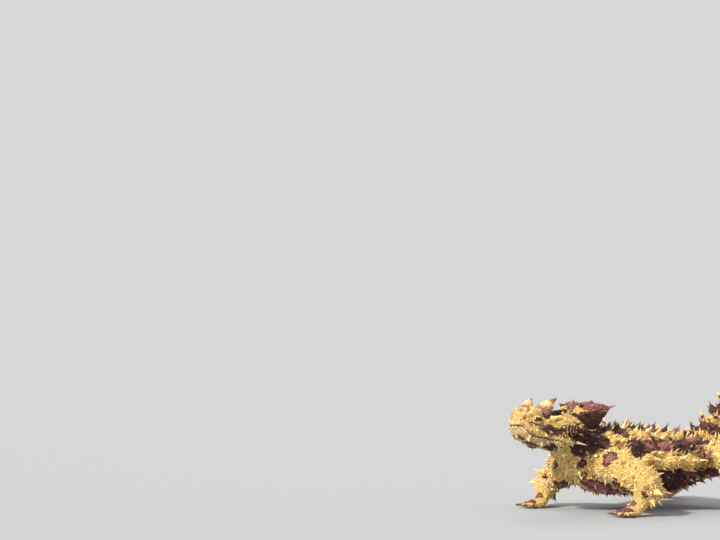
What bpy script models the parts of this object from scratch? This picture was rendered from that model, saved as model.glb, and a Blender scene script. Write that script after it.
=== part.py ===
"""A thorny devil lizard, life size, standing in mid stride with its head turned and its tail raised.

Lengths are millimetres in the lizard's own frame: it faces -Y, +X is its left and the floor is z = 0.
The last step moves the finished solids so that the middle of their footprint is the origin.
"""

import math
import random

import bmesh
import bpy
from mathutils import Vector
from mathutils.bvhtree import BVHTree

mm = 0.001
gap = 0.3
random.seed(11)

# Trunk and tail, from the back of the head to the tail's tip
trunkStations = [
    # x, y, z of the middle, half width, height above it, depth below it
    (-3.9, -9.2, 27.0, 6.0, 4.4, 5.0),
    (-2.9, -2.4, 23.9, 7.8, 6.2, 8.4),
    (-1.6, 3.4, 20.4, 9.8, 8.6, 11.2),
    (-0.6, 10.0, 17.8, 13.6, 11.2, 12.4),
    (0.2, 18.0, 16.8, 16.9, 12.2, 12.0),
    (0.5, 27.0, 16.4, 18.2, 12.0, 11.8),
    (0.4, 36.0, 16.2, 17.2, 11.2, 11.4),
    (0.2, 45.0, 16.4, 13.8, 9.8, 10.4),
    (0.0, 52.5, 17.6, 10.4, 7.8, 9.0),
    (0.0, 59.0, 20.4, 7.9, 6.4, 7.2),
]
tailSize = {
    "length": 72.0,
    "startSlope": 34.0,
    "endSlope": 74.0,
    "sway": 7.0,
    "startRadius": 7.0,
    "endRadius": 1.9,
    "steps": 8,
}
neckEnd = 1.55
trunkEnd = 9.0
tailCuts = (11.7, 14.4)

# Head, measured along its own axis from the back of the skull to the snout
headTurn = math.radians(6)
headPitch = math.radians(9)
headRoot = Vector((-3.85, -5.53, 26.17))
headStations = [
    # distance forward, rise of the middle, half width, height above it, depth below it
    (-0.6, -1.6, 7.0, 5.0, 5.2),
    (2.2, -0.8, 8.6, 6.4, 6.0),
    (5.8, -0.2, 9.2, 7.2, 6.2),
    (9.8, 0.0, 8.8, 7.9, 6.0),
    (13.2, 0.2, 7.7, 7.5, 5.6),
    (15.4, 0.6, 6.7, 6.4, 5.2),
    (16.9, 1.1, 5.6, 5.0, 4.4),
    (18.0, 1.5, 4.2, 3.3, 3.1),
]
eye = {"forward": 14.3, "side": 6.2, "rise": 2.5, "radius": 1.75, "lid": 0.6}
horn = {"forward": 11.7, "side": 4.6, "rise": 5.2, "radius": 2.9, "length": 8.2, "lean": (0.36, 0.10, 0.88)}
mouth = {"angle": -31.0, "from": 1.3, "to": 7.0, "width": 0.45, "depth": 0.75, "lip": 1.05}
nostril = {"station": 6.7, "angle": 22.0, "radius": 0.5}
ear = {"station": 2.2, "angle": 4.0, "radius": 1.1}

# Nape knob: two lobes side by side over the shoulders
knob = {"middle": Vector((-1.8, 1.8, 32.3)), "apart": 3.7, "radii": (4.7, 6.2, 5.2), "spine": 4.2}

# Legs: joints from the body outwards, then the middle of the palm and the way that the toes point
legJoints = {
    "fore_l": [(8.0, 5.5, 16.2), (26.4, 6.3, 10.2), (25.8, 2.6, 4.8), (26.2, -1.6, 1.7)],
    "fore_r": [(-9.0, 6.2, 15.0), (-24.4, 8.2, 9.6), (-20.2, 0.9, 5.1), (-18.2, -3.2, 1.7)],
    "hind_l": [(7.0, 52.0, 16.4), (27.5, 46.5, 17.4), (32.4, 60.0, 5.0), (33.6, 55.6, 1.8)],
    "hind_r": [(-7.0, 53.0, 16.4), (-27.0, 57.0, 16.4), (-25.6, 74.0, 5.4), (-28.0, 70.0, 1.8)],
}
toesPoint = {"fore_l": (-0.10, -0.99), "fore_r": (-0.30, -0.95), "hind_l": (0.34, -0.94), "hind_r": (-0.62, -0.78)}
legRadii = {"fore": (6.1, 5.7, 4.9, 4.6, 3.1, 3.1), "hind": (7.2, 5.8, 4.8, 4.2, 2.9, 3.2)}
toe = {"length": 3.3, "radius": 0.95, "fan": 31.0, "claw": 2.1}

# Rows of spines on the trunk: angle above the side, first and last station, how many, length, radius
trunkRows = [
    ("top", 70.0, 2.9, 8.6, 9, 4.0, 1.5),
    ("back", 47.0, 2.4, 8.5, 8, 5.0, 1.9),
    ("edge", 25.0, 2.6, 8.5, 7, 5.8, 2.25),
    ("side", 3.0, 3.0, 8.4, 7, 7.2, 2.7),
    ("flank", -20.0, 3.1, 8.2, 8, 4.2, 1.75),
    ("low", -42.0, 2.2, 8.0, 8, 2.8, 1.3),
    ("belly", -66.0, 2.0, 7.8, 7, 1.9, 1.1),
]
tailRows = [("crest", 62.0, 4.2, 1.55), ("side", 18.0, 5.2, 1.75), ("low", -24.0, 3.4, 1.35), ("under", -66.0, 1.7, 1.0)]
tailRingGap = 6.3
headSpines = [
    # station, angle, length, radius, lean back, lean up
    (1.35, 29.0, 7.0, 2.4, 0.75, -0.50),
    (1.75, 64.0, 4.8, 1.9, 0.60),
    (1.5, -19.0, 7.2, 2.3, 1.2, 0.55),
    (1.0, 80.0, 4.6, 1.1, 0.10),
    (2.8, 30.0, 3.0, 1.1, 0.60),
    (2.1, -50.0, 2.2, 1.0, 0.40),
    (3.2, -52.0, 1.6, 0.9, 0.20),
    (4.5, -54.0, 1.4, 0.8, 0.10),
    (5.3, 66.0, 1.8, 0.9, -0.10),
    (6.0, 70.0, 1.4, 0.8, -0.20),
]
upperArmSpines = [(0.75, 95.0, 3.0, 1.4), (1.05, 40.0, 2.6, 1.2), (1.1, 140.0, 2.6, 1.2), (1.5, 85.0, 3.4, 1.5), (1.6, 20.0, 2.4, 1.1)]
forearmSpines = [(0.3, 60.0, 3.6, 1.4), (0.4, 10.0, 2.6, 1.1), (0.5, 130.0, 3.2, 1.3), (0.95, 85.0, 3.2, 1.2),
                 (1.0, 30.0, 2.4, 1.0), (1.1, 150.0, 2.4, 1.0), (1.5, 95.0, 2.2, 1.0)]
thighSpines = [(0.95, 85.0, 4.0, 1.6), (1.0, 35.0, 3.2, 1.4), (1.05, 140.0, 3.0, 1.3), (1.4, 70.0, 4.4, 1.7),
               (1.55, 15.0, 3.0, 1.3), (1.5, 125.0, 3.6, 1.5)]
shinSpines = [(0.3, 75.0, 4.4, 1.6), (0.4, 20.0, 3.0, 1.2), (0.45, 140.0, 3.2, 1.3), (0.9, 95.0, 3.6, 1.3),
              (1.0, 40.0, 2.6, 1.1), (1.1, 150.0, 2.6, 1.1), (1.5, 90.0, 2.4, 1.0)]
sizeSpread = 0.16
waistFrom = 1.75

headForward = Vector((-math.sin(headTurn) * math.cos(headPitch), -math.cos(headTurn) * math.cos(headPitch),
                      math.sin(headPitch)))
headLeft = Vector((math.cos(headTurn), -math.sin(headTurn), 0))
headUp = headForward.cross(headLeft).normalized() * (1 if headForward.cross(headLeft).z > 0 else -1)


class Loft:
    """A smooth tube through stations (centre, half width, height above, depth below, side direction)."""

    def __init__(self, stations, upHint, grow=0.0):
        self.stations = [(*centre, w + grow, top + grow, low + grow, *side) for centre, w, top, low, side in stations]
        self.upHint = Vector(upHint)
        self.last = len(stations) - 1

    def values(self, t):
        t = min(max(t, 0.0), self.last - 1e-6)
        i = int(t)
        f = t - i
        rows = [self.stations[min(max(i + k, 0), self.last)] for k in (-1, 0, 1, 2)]
        mix = []
        for a, b, c, d in zip(*rows):
            mix.append(b + 0.5 * f * (c - a + f * (2 * a - 5 * b + 4 * c - d + f * (3 * (b - c) + d - a))))
        return mix

    def frame(self, t):
        v = self.values(t)
        along = Vector(self.values(t + 0.02)[:3]) - Vector(self.values(t - 0.02)[:3])
        along.normalize()
        side = Vector(v[6:9])
        side = (side - along * side.dot(along)).normalized()
        up = along.cross(side)
        if up.dot(self.upHint) < 0:
            up.negate()
        return Vector(v[:3]), along, side, up, v[3], v[4], v[5]

    def point(self, t, angle, scale=1.0):
        centre, _, side, up, wide, top, low = self.frame(t)
        c, s = math.cos(angle), math.sin(angle)
        return centre + (side * (wide * c) + up * ((top if s > 0 else low) * s)) * scale

    def outward(self, t, angle):
        centre = self.frame(t)[0]
        here = self.point(t, angle)
        dt = self.point(t + 0.05, angle) - self.point(t - 0.05, angle)
        da = self.point(t, angle + 0.05) - self.point(t, angle - 0.05)
        normal = dt.cross(da).normalized()
        return normal if normal.dot(here - centre) > 0 else -normal


def faceOutwards(mesh):
    shape = bmesh.new()
    shape.from_mesh(mesh)
    bmesh.ops.recalc_face_normals(shape, faces=shape.faces)
    if shape.calc_volume(signed=True) < 0:
        bmesh.ops.reverse_faces(shape, faces=shape.faces)
    bmesh.ops.triangulate(shape, faces=shape.faces)
    shape.to_mesh(mesh)
    shape.free()


def meshObject(name, points, faces):
    mesh = bpy.data.meshes.new(name)
    mesh.from_pydata([p * mm for p in points], [], faces)
    faceOutwards(mesh)
    obj = bpy.data.objects.new(name, mesh)
    bpy.context.scene.collection.objects.link(obj)
    return obj


def ringSolid(name, rings, tip=None, tail=None):
    """A closed solid through rings of points, each end a fan to its own point or to the ring's middle."""
    n = len(rings[0])
    points = [p for ring in rings for p in ring]
    faces = []
    for r in range(len(rings) - 1):
        for j in range(n):
            k = (j + 1) % n
            faces.append((r * n + j, r * n + k, (r + 1) * n + k, (r + 1) * n + j))
    for ring, at in ((0, tail), (len(rings) - 1, tip)):
        points.append(at if at is not None else sum(rings[ring], Vector()) / n)
        for j in range(n):
            faces.append((ring * n + j, ring * n + (j + 1) % n, len(points) - 1))
    return meshObject(name, points, faces)


def loftSolid(name, loft, start, end, steps, sides, roundStart=0.0, roundEnd=0.0):
    """The loft from one station to another, with flat ends, or domed ones of the depth given."""
    def ring(t, scale=1.0, push=0.0):
        _, along = loft.frame(t)[:2]
        return [loft.point(t, 2 * math.pi * j / sides, scale) + along * push for j in range(sides)]

    rings = [ring(start + (end - start) * i / steps) for i in range(steps + 1)]
    tail = tip = None
    if roundStart:
        rings.insert(0, ring(start, 0.72, -0.7 * roundStart))
        tail = loft.frame(start)[0] - loft.frame(start)[1] * roundStart
    if roundEnd:
        rings.append(ring(end, 0.72, 0.7 * roundEnd))
        tip = loft.frame(end)[0] + loft.frame(end)[1] * roundEnd
    return ringSolid(name, rings, tip, tail)


def ellipsoid(name, middle, radii, axes, segments=12, rows=8):
    bpy.ops.mesh.primitive_uv_sphere_add(segments=segments, ring_count=rows, radius=1)
    obj = bpy.context.object
    obj.name = obj.data.name = name
    for v in obj.data.vertices:
        local = Vector(v.co)
        v.co = (middle + axes[0] * (local.x * radii[0]) + axes[1] * (local.y * radii[1])
                + axes[2] * (local.z * radii[2])) * mm
    faceOutwards(obj.data)
    return obj


def across(direction):
    other = Vector((0, 0, 1)) if abs(direction.z) < 0.8 else Vector((1, 0, 0))
    side = direction.cross(other).normalized()
    return side, direction.cross(side).normalized()


def spineSolid(name, root, direction, length, radius, bend=Vector(), sides=5, sink=0.9):
    """A spine with a sharp tip that may curve towards bend; a big one has a broad foot and a waist."""
    side, up = across(direction)
    turn = random.random() * math.tau
    rings = []
    profile = [(-sink * radius / length, 1.0), (0.42, 0.46)] if radius > waistFrom else [(-sink * radius / length, 1.0)]
    for share, width in profile:
        middle = root + direction * (length * share) + bend * (length * max(share, 0) ** 2)
        rings.append([middle + (side * math.cos(turn + math.tau * j / sides)
                                + up * math.sin(turn + math.tau * j / sides)) * (radius * width)
                      for j in range(sides)])
    return ringSolid(name, rings, root + direction * length + bend * length)


def moveTo(obj, collection):
    for holder in list(obj.users_collection):
        holder.objects.unlink(obj)
    collection.objects.link(obj)


def removeObject(obj):
    mesh = obj.data
    bpy.data.objects.remove(obj)
    if mesh.users == 0:
        bpy.data.meshes.remove(mesh)


def merged(mesh, distance):
    """The mesh with points this close joined into one, or None where that leaves it no longer closed."""
    shape = bmesh.new()
    shape.from_mesh(mesh)
    if distance:
        bmesh.ops.remove_doubles(shape, verts=shape.verts, dist=distance)
        bmesh.ops.dissolve_degenerate(shape, edges=shape.edges, dist=distance)
    bmesh.ops.triangulate(shape, faces=shape.faces)
    if distance and not all(edge.is_manifold for edge in shape.edges):
        shape.free()
        return None
    return shape


def largestShell(obj):
    """Keeps the one closed surface that holds most, which fills sealed hollows and drops scraps."""
    distance = next(d for d in (5e-5, 2e-5, 8e-6, 3e-6, 0) if merged(obj.data, d))
    shape = merged(obj.data, distance)
    if distance < 2e-5:
        print("merged less", obj.name, distance)
    left = set(shape.faces)
    shells = []
    while left:
        stack = [left.pop()]
        shell = []
        while stack:
            face = stack.pop()
            shell.append(face)
            for edge in face.edges:
                for other in edge.link_faces:
                    if other in left:
                        left.remove(other)
                        stack.append(other)
        shells.append(shell)
    best = max(shells, key=len)
    for shell in shells:
        if shell is not best:
            bmesh.ops.delete(shape, geom=shell, context="FACES")
    shape.to_mesh(obj.data)
    shape.free()
    obj.data.update()


def applyBoolean(obj, operation, others, solver="MANIFOLD"):
    """Joins the others to obj, or cuts them from it, in one Boolean, and removes them."""
    if not others:
        return obj
    group = bpy.data.collections.new(obj.name + "_tools")
    bpy.context.scene.collection.children.link(group)
    for other in others:
        moveTo(other, group)
    modifier = obj.modifiers.new("join", "BOOLEAN")
    modifier.operation = operation
    modifier.operand_type = "COLLECTION"
    modifier.collection = group
    modifier.solver = solver
    if solver == "EXACT":
        modifier.use_self = False
    bpy.context.view_layer.update()
    graph = bpy.context.evaluated_depsgraph_get()
    made = bpy.data.meshes.new_from_object(obj.evaluated_get(graph))
    old = obj.data
    obj.modifiers.clear()
    obj.data = made
    bpy.data.meshes.remove(old)
    for other in list(group.objects):
        removeObject(other)
    bpy.data.collections.remove(group)
    largestShell(obj)
    return obj


class Clearance:
    """Remembers where every core and spine is, so that a spine that would cross another node is left out."""

    def __init__(self):
        self.cores = {}
        self.samples = []
        self.roots = []

    def addCore(self, node, obj):
        shape = bmesh.new()
        shape.from_mesh(obj.data)
        self.cores[node] = BVHTree.FromBMesh(shape)
        shape.free()

    def within(self, tree, p):
        """Counts the walls above a point: an odd number means that it is inside."""
        walls = 0
        hit = tree.ray_cast(p, Vector((0.013, 0.021, 1)))[0]
        while hit is not None and walls < 9:
            walls += 1
            hit = tree.ray_cast(hit + Vector((0, 0, 2e-6)), Vector((0.013, 0.021, 1)))[0]
        return walls % 2 == 1

    def allows(self, node, root, tip, radius):
        if any(n == node and (root - q).length < 1.1 * (radius + r) for n, q, r in self.roots):
            return False
        samples = [(root.lerp(tip, s), radius * (1.05 - s)) for s in (0.0, 0.25, 0.5, 0.75, 1.0)]
        for other, tree in self.cores.items():
            if other == node:
                continue
            for p, r in samples:
                if tree.find_nearest(p * mm)[3] < (r + gap + 0.1) * mm or self.within(tree, p * mm):
                    return False
        for p, r in samples:
            if p.z - r < 0.6:
                return False
            for other, q, s in self.samples:
                if other != node and (p - q).length < r + s + gap:
                    return False
        self.samples += [(node, p, r) for p, r in samples]
        self.roots.append((node, root, radius))
        return True


clearance = Clearance()


def addSpines(node, loft, rows, back=0.25, sides=5):
    """Spines of (station, angle in degrees, length, radius[, lean back, lean up]) set on the loft's surface."""
    made = []
    for station, angle, length, radius, *more in rows:
        lean = more[0] if more else back
        lift = more[1] if len(more) > 1 else 0.0
        turn = math.radians(angle)
        grown = 1 + random.uniform(-sizeSpread, sizeSpread)
        root = loft.point(station, turn)
        away = loft.outward(station, turn) + loft.frame(station)[1] * lean + loft.frame(station)[3] * lift
        away.normalize()
        tip = root + away * (length * grown)
        if not clearance.allows(node, root, tip, radius * grown):
            print("no room on", node, station, angle)
            continue
        made.append(spineSolid("spine", root, away, length * grown, radius * grown,
                               loft.frame(station)[1] * (0.18 * lean), sides if radius > 1.15 else 4))
    return made


def mirrored(rows):
    """The same rows on both sides of the middle plane."""
    return rows + [(t, 180.0 - angle, *rest) for t, angle, *rest in rows]


def spread(first, last, count, offset=0.0):
    step = (last - first) / (count - 1)
    return [first + step * (i + offset) for i in range(count)]


def trunkLoft(grow=0.0):
    """Trunk and tail as one loft; the tail rises in an arc and sways a little to the left."""
    stations = [((x, y, z), w, top, low, (1, 0, 0)) for x, y, z, w, top, low in trunkStations]
    at = Vector(trunkStations[-1][:3])
    steps = tailSize["steps"]
    for i in range(1, steps + 1):
        share = (i - 0.5) / steps
        slope = math.radians(tailSize["startSlope"] + (tailSize["endSlope"] - tailSize["startSlope"]) * share)
        step = tailSize["length"] / steps
        sway = tailSize["sway"] / steps * 2 * share
        at = at + Vector((sway, math.cos(slope) * step, math.sin(slope) * step))
        r = tailSize["startRadius"] + (tailSize["endRadius"] - tailSize["startRadius"]) * (i / steps) ** 0.9
        stations.append((tuple(at), r, r * 0.92, r * 0.92, (1, 0, 0)))
    return Loft(stations, (0, -0.7, 1), grow)


def headLoft(grow=0.0):
    stations = []
    for forward, rise, w, top, low in headStations:
        centre = headRoot + headForward * forward + headUp * rise
        stations.append((tuple(centre), w, top, low, tuple(headLeft)))
    return Loft(stations, (0, 0, 1), grow)


def legLofts(name, grow=0.0):
    """The upper leg, the lower leg and the foot's palm, each as a loft that begins inside the one before."""
    a, b, c, d = [Vector(p) for p in legJoints[name]]
    r = legRadii[name[:4]]
    outer = 1 if name.endswith("l") else -1
    point = Vector((*toesPoint[name], 0)).normalized()
    inward = (outer * point.y, -outer * point.x, 0)
    ahead = (0, -1, 0)
    bulge = Vector((outer * 0.5, 0, 0))
    upper = [(tuple(a), r[0], r[0], r[0], ahead), (tuple(a.lerp(b, 0.5)), r[1], r[1] * 1.05, r[1], ahead),
             (tuple(b), r[2], r[2], r[2], ahead)]
    lower = [(tuple(b), r[2] * 0.93, r[2] * 0.93, r[2] * 0.93, ahead),
             (tuple(b.lerp(c, 0.45) + bulge), r[3], r[3] * 1.08, r[3], ahead), (tuple(c), r[4] * 1.08, r[4], r[4], ahead)]
    palm = [(tuple(c + Vector((0, 0, -0.4))), r[4], r[4] * 0.85, r[4] * 0.85, inward), (tuple(d), r[5] * 1.1, 1.9, 2.1, inward),
            (tuple(d + point * 2.6), r[5], 1.4, 1.9, inward)]
    return [Loft(stations, (outer, 0, 0.6), grow) for stations in (upper, lower, palm)]


def floorCutter():
    bpy.ops.mesh.primitive_cube_add(size=1)
    box = bpy.context.object
    box.name = "floor_cutter"
    for v in box.data.vertices:
        v.co = Vector((v.co.x * 400, v.co.y * 400, v.co.z * 20 - 10)) * mm
    return box


def material(name, colour, roughness=0.75):
    made = bpy.data.materials.new(name)
    made.use_nodes = True
    surface = made.node_tree.nodes["Principled BSDF"]
    surface.inputs["Base Color"].default_value = (*colour, 1)
    surface.inputs["Roughness"].default_value = roughness
    surface.inputs["Metallic"].default_value = 0.0
    return made


def finishNode(obj, name, look):
    obj.name = obj.data.name = name
    obj.data.materials.clear()
    obj.data.materials.append(look)
    obj.data.shade_smooth()
    obj.data.set_sharp_from_angle(angle=math.radians(40))
    moveTo(obj, lizard)


for old in list(bpy.data.objects):
    bpy.data.objects.remove(old)
lizard = bpy.data.collections.new("thorny_devil")
bpy.context.scene.collection.children.link(lizard)

skinLook = material("spiny_skin", (0.62, 0.43, 0.19))
hornLook = material("horn", (0.74, 0.55, 0.27), 0.55)
eyeLook = material("dark_eye", (0.02, 0.012, 0.01), 0.12)

# Nodes are first made as plain cores, so that every spine can be tested against all of them
trunk = trunkLoft()
head = headLoft()
legs = {name: legLofts(name) for name in legJoints}
tailLast = trunk.last
half = 0.15 / 6.0

cores = {
    "neck": applyBoolean(loftSolid("neck", trunk, 0.0, neckEnd - half, 6, 18), "DIFFERENCE",
                         [loftSolid("head_cutter", headLoft(gap), 0.0, headLoft().last, 14, 22, 1.9, 1.9)]),
    "torso": loftSolid("torso", trunk, neckEnd + half, trunkEnd - half, 15, 18),
    "tail_base": loftSolid("tail_base", trunk, trunkEnd + half, tailCuts[0] - half, 5, 12),
    "tail_middle": loftSolid("tail_middle", trunk, tailCuts[0] + half, tailCuts[1] - half, 5, 11),
    "tail_tip": loftSolid("tail_tip", trunk, tailCuts[1] + half, tailLast, 5, 9, roundEnd=1.6),
    "head": loftSolid("head", head, 0.0, head.last, 12, 18, 1.5, 1.5),
}
xyz = (Vector((1, 0, 0)), Vector((0, 1, 0)), Vector((0, 0, 1)))
headAxes = (headLeft, headForward, headUp)


def knobSolid():
    """Two lobes joined, with their undersides cut to follow the neck and back."""
    lobes = []
    for way in (1, -1):
        middle = knob["middle"] + Vector((way * knob["apart"], 0, 0))
        lobes.append(ellipsoid("lobe", middle, knob["radii"], xyz, 11, 7))
    solid = applyBoolean(lobes[0], "UNION", lobes[1:])
    under = loftSolid("under_knob", trunkLoft(gap), 0.04, trunkEnd, 20, 24)
    before = loftSolid("before_knob", headLoft(gap), 0.0, head.last, 14, 22, 1.9, 1.9)
    return applyBoolean(solid, "DIFFERENCE", [under, before])


def eyeMiddle(way, grow=0.0):
    return (headRoot + headForward * eye["forward"] + headLeft * (way * (eye["side"] + grow))
            + headUp * eye["rise"])


def hornSolid(way):
    base = (headRoot + headForward * horn["forward"] + headLeft * (way * horn["side"]) + headUp * horn["rise"])
    sidewards, backwards, upwards = horn["lean"]
    lean = headLeft * (way * sidewards) - headForward * backwards + headUp * upwards
    curl = -headForward * 0.32 - headUp * 0.16
    side, up = across(lean)
    rings = []
    for share, width in ((-0.12, 1.0), (0.12, 0.95), (0.36, 0.78), (0.62, 0.55), (0.84, 0.28)):
        middle = base + lean * (horn["length"] * share) + curl * (horn["length"] * share * abs(share))
        rings.append([middle + (side * math.cos(math.tau * j / 9) + up * math.sin(math.tau * j / 9))
                      * (horn["radius"] * width) for j in range(9)])
    solid = ringSolid("horn", rings, base + (lean + curl) * horn["length"])
    under = loftSolid("under_horn", headLoft(gap), 0.1, head.last, 15, 22, roundEnd=1.8)
    beside = ellipsoid("beside_eye", eyeMiddle(way), (eye["radius"] + 2 * eye["lid"] + gap,) * 3, headAxes, 14, 9)
    return applyBoolean(solid, "DIFFERENCE", [under, beside])


def eyeSolid(way):
    return ellipsoid("eye", eyeMiddle(way), (eye["radius"],) * 3, headAxes, 12, 8)


cores["nape_knob"] = knobSolid()
for tag, way in (("l", 1), ("r", -1)):
    cores["horn_" + tag] = hornSolid(way)
    cores["eye_" + tag] = eyeSolid(way)

legNames = {"fore": ("upper_arm", "forearm", "hand"), "hind": ("thigh", "shin", "foot")}
for name, (upperLoft, lowerLoft, palmLoft) in legs.items():
    kind, tag = name.split("_")
    upper, lower, end = [part + "_" + tag for part in legNames[kind]]
    grown = legLofts(name, gap)
    body = loftSolid("body_cutter", trunkLoft(gap), neckEnd - 1.4, trunkEnd + 1.2, 26, 22)
    cores[upper] = applyBoolean(loftSolid(upper, upperLoft, 0.0, 2.0, 5, 11, roundEnd=2.2), "DIFFERENCE", [body])
    over = loftSolid("upper_cutter", grown[0], 0.0, 2.0, 8, 16, roundEnd=2.6)
    cores[lower] = applyBoolean(loftSolid(lower, lowerLoft, 0.0, 2.0, 4, 11, roundEnd=1.4), "DIFFERENCE", [over])
    over = loftSolid("lower_cutter", grown[1], 0.0, 2.0, 8, 16, roundEnd=1.9)
    cores[end] = applyBoolean(loftSolid(end, palmLoft, 0.0, 2.0, 4, 12, 1.0, 1.2), "DIFFERENCE", [over])

for node, obj in cores.items():
    clearance.addCore(node, obj)


def trunkSpines(node, first, last):
    rows = []
    for k, (_, angle, start, end, count, length, radius) in enumerate(trunkRows):
        for i, t in enumerate(spread(start, end, count)):
            if first < t < last:
                bulge = 0.72 + 0.28 * math.sin(math.pi * (t - 2.0) / 7.2)
                alternate = 1.0 if (i + k) % 2 else 0.8
                rows.append((t, angle, length * bulge * alternate, radius * bulge * alternate))
    return addSpines(node, trunk, mirrored(rows), 0.30)


def tailSpines(node, first, last):
    perStation = tailSize["length"] / tailSize["steps"]
    rows = []
    t = trunkEnd + 0.45
    index = 0
    while t < tailLast - 0.1:
        shrink = 1.0 - 0.48 * (t - trunkEnd) / (tailLast - trunkEnd)
        if first + 0.12 < t < last - 0.12:
            for k, (_, angle, length, radius) in enumerate(tailRows):
                shift = 0.16 if k % 2 else 0.0
                if t + shift < min(last - 0.12, tailLast - 0.35):
                    rows.append((t + shift, angle, length * shrink, radius * shrink))
        t += tailRingGap * (0.62 + 0.38 * shrink) / perStation
        index += 1
    return addSpines(node, trunk, mirrored(rows), 0.35)


def ridgeAlong(loft, stations, angle, radius, way):
    """A half sunk tube along the head's side, which becomes the two lips."""
    rings = []
    for t in stations:
        turn = math.radians(angle if way > 0 else 180 - angle)
        centre = loft.point(t, turn) - loft.outward(t, turn) * (radius * 0.55)
        out, up = loft.outward(t, turn), loft.frame(t)[3]
        rings.append([centre + (out * math.cos(math.tau * j / 6) + up * math.sin(math.tau * j / 6)) * radius
                      for j in range(6)])
    return ringSolid("lips", rings)


def mouthCutter():
    """A thin sheet round the snout that cuts the line of the mouth."""
    count = 9
    angles = (math.radians(mouth["angle"]), math.radians(180 - mouth["angle"]))
    stations = [mouth["from"] + (mouth["to"] - mouth["from"]) * i / (count - 1) for i in range(count)]
    route = [(t, angles[0]) for t in stations] + [(t, angles[1]) for t in reversed(stations)]
    rings = []
    for t, turn in route:
        centre, along, side, up = head.frame(t)[:4]
        edge = head.point(t, turn)
        out = edge - centre
        out = (out - up * out.dot(up)).normalized()
        if t > head.last - 1.2:
            out = (out + headForward * (t - head.last + 1.2) * 1.4).normalized()
        inner, outer = edge - out * mouth["depth"], edge + out * 4.0
        thick = up * (mouth["width"] / 2)
        rings.append([inner - thick, outer - thick * 1.6, outer + thick * 1.6, inner + thick])
    return ringSolid("mouth_cutter", rings)


def lidRing(way):
    """A low rim round the eye, closed all round."""
    middle = eyeMiddle(way, 0.55)
    out = (headLeft * way + headUp * 0.25 + headForward * 0.15).normalized()
    bpy.ops.mesh.primitive_torus_add(major_segments=10, minor_segments=5, major_radius=eye["radius"] + 0.1,
                                     minor_radius=eye["lid"])
    rim = bpy.context.object
    side, up = across(out)
    for v in rim.data.vertices:
        local = Vector(v.co)
        v.co = (middle + side * local.x + up * local.y * 0.86 + out * (local.z + 0.35)) * mm
    faceOutwards(rim.data)
    return rim


def headSolid(core):
    rows = addSpines("head", head, mirrored([(t, a, l, r, -lean, *lift) for t, a, l, r, lean, *lift in headSpines]), 0.0)
    lips = [ridgeAlong(head, spread(mouth["from"] + 0.4, head.last - 0.15, 9), mouth["angle"], mouth["lip"], way)
            for way in (1, -1)]
    core = applyBoolean(core, "UNION", rows + lips + [lidRing(1), lidRing(-1)])
    cutters = [mouthCutter()]
    for way in (1, -1):
        cutters.append(ellipsoid("socket", eyeMiddle(way), (eye["radius"] + gap,) * 3, headAxes, 12, 8))
        for at, deep in ((nostril, 0.3), (ear, 0.25)):
            turn = math.radians(at["angle"] if way > 0 else 180 - at["angle"])
            centre = head.point(at["station"], turn) + head.outward(at["station"], turn) * (at["radius"] * deep)
            cutters.append(ellipsoid("dimple", centre, (at["radius"],) * 3, headAxes, 8, 6))
    return applyBoolean(core, "DIFFERENCE", cutters)


def knobSpines():
    """One big spine behind on each lobe and smaller ones over its top and sides."""
    made = []
    plan = [((0.34, 0.86, 0.36), 1.15), ((0.85, 0.45, 0.25), 0.7), ((0.2, 0.2, 1.0), 0.5), ((0.75, -0.1, 0.65), 0.55), ((0.3, -0.65, 0.7), 0.5),
            ((0.25, 0.85, 0.6), 0.62), ((0.8, -0.6, 0.15), 0.5)]
    for way in (1, -1):
        middle = knob["middle"] + Vector((way * knob["apart"], 0, 0))
        for (x, y, z), size in plan:
            out = Vector((x * way, y, z)).normalized()
            root = middle + Vector([out[k] * knob["radii"][k] for k in range(3)])
            length = knob["spine"] * size
            if clearance.allows("nape_knob", root, root + out * length, 1.7 * size):
                made.append(spineSolid("spine", root, out, length, 1.8 * size, Vector((0, 0.2, 0)), 5, 0.7))
    return made


def footSolid(name, core):
    """The palm with five toes, each with its claw, cut flat where it stands on the floor."""
    palm = Vector(legJoints[name][3])
    point = Vector((*toesPoint[name], 0)).normalized()
    longer = 1.25 if name.startswith("hind") else 1.0
    pieces = []
    for k in range(-2, 3):
        turn = math.radians(toe["fan"] * k)
        way = Vector((point.x * math.cos(turn) - point.y * math.sin(turn),
                      point.x * math.sin(turn) + point.y * math.cos(turn), 0))
        reach = toe["length"] * longer * (1.0 - 0.09 * abs(k))
        start = palm + point * 1.9 + way * 0.6
        start.z = 1.15
        knuckle = start + way * (reach * 0.72) + Vector((0, 0, 0.12))
        end = start + way * (reach + 0.7) + Vector((0, 0, -0.15))
        toeLoft = Loft([(tuple(p), r, r, r, (-way.y, way.x, 0)) for p, r in
                        ((start, toe["radius"]), (knuckle, toe["radius"] * 0.95), (end, toe["radius"] * 0.7))],
                       (0, 0, 1))
        pieces.append(loftSolid("toe", toeLoft, 0.0, 2.0, 2, 6, roundEnd=0.5))
        down = (way + Vector((0, 0, -0.16))).normalized()
        pieces.append(spineSolid("claw", end + way * 0.2 + Vector((0, 0, 0.1)), down, toe["claw"], 0.48, sides=5,
                                 sink=0.8))
    solid = applyBoolean(core, "UNION", pieces)
    return applyBoolean(solid, "DIFFERENCE", [floorCutter()])


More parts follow.
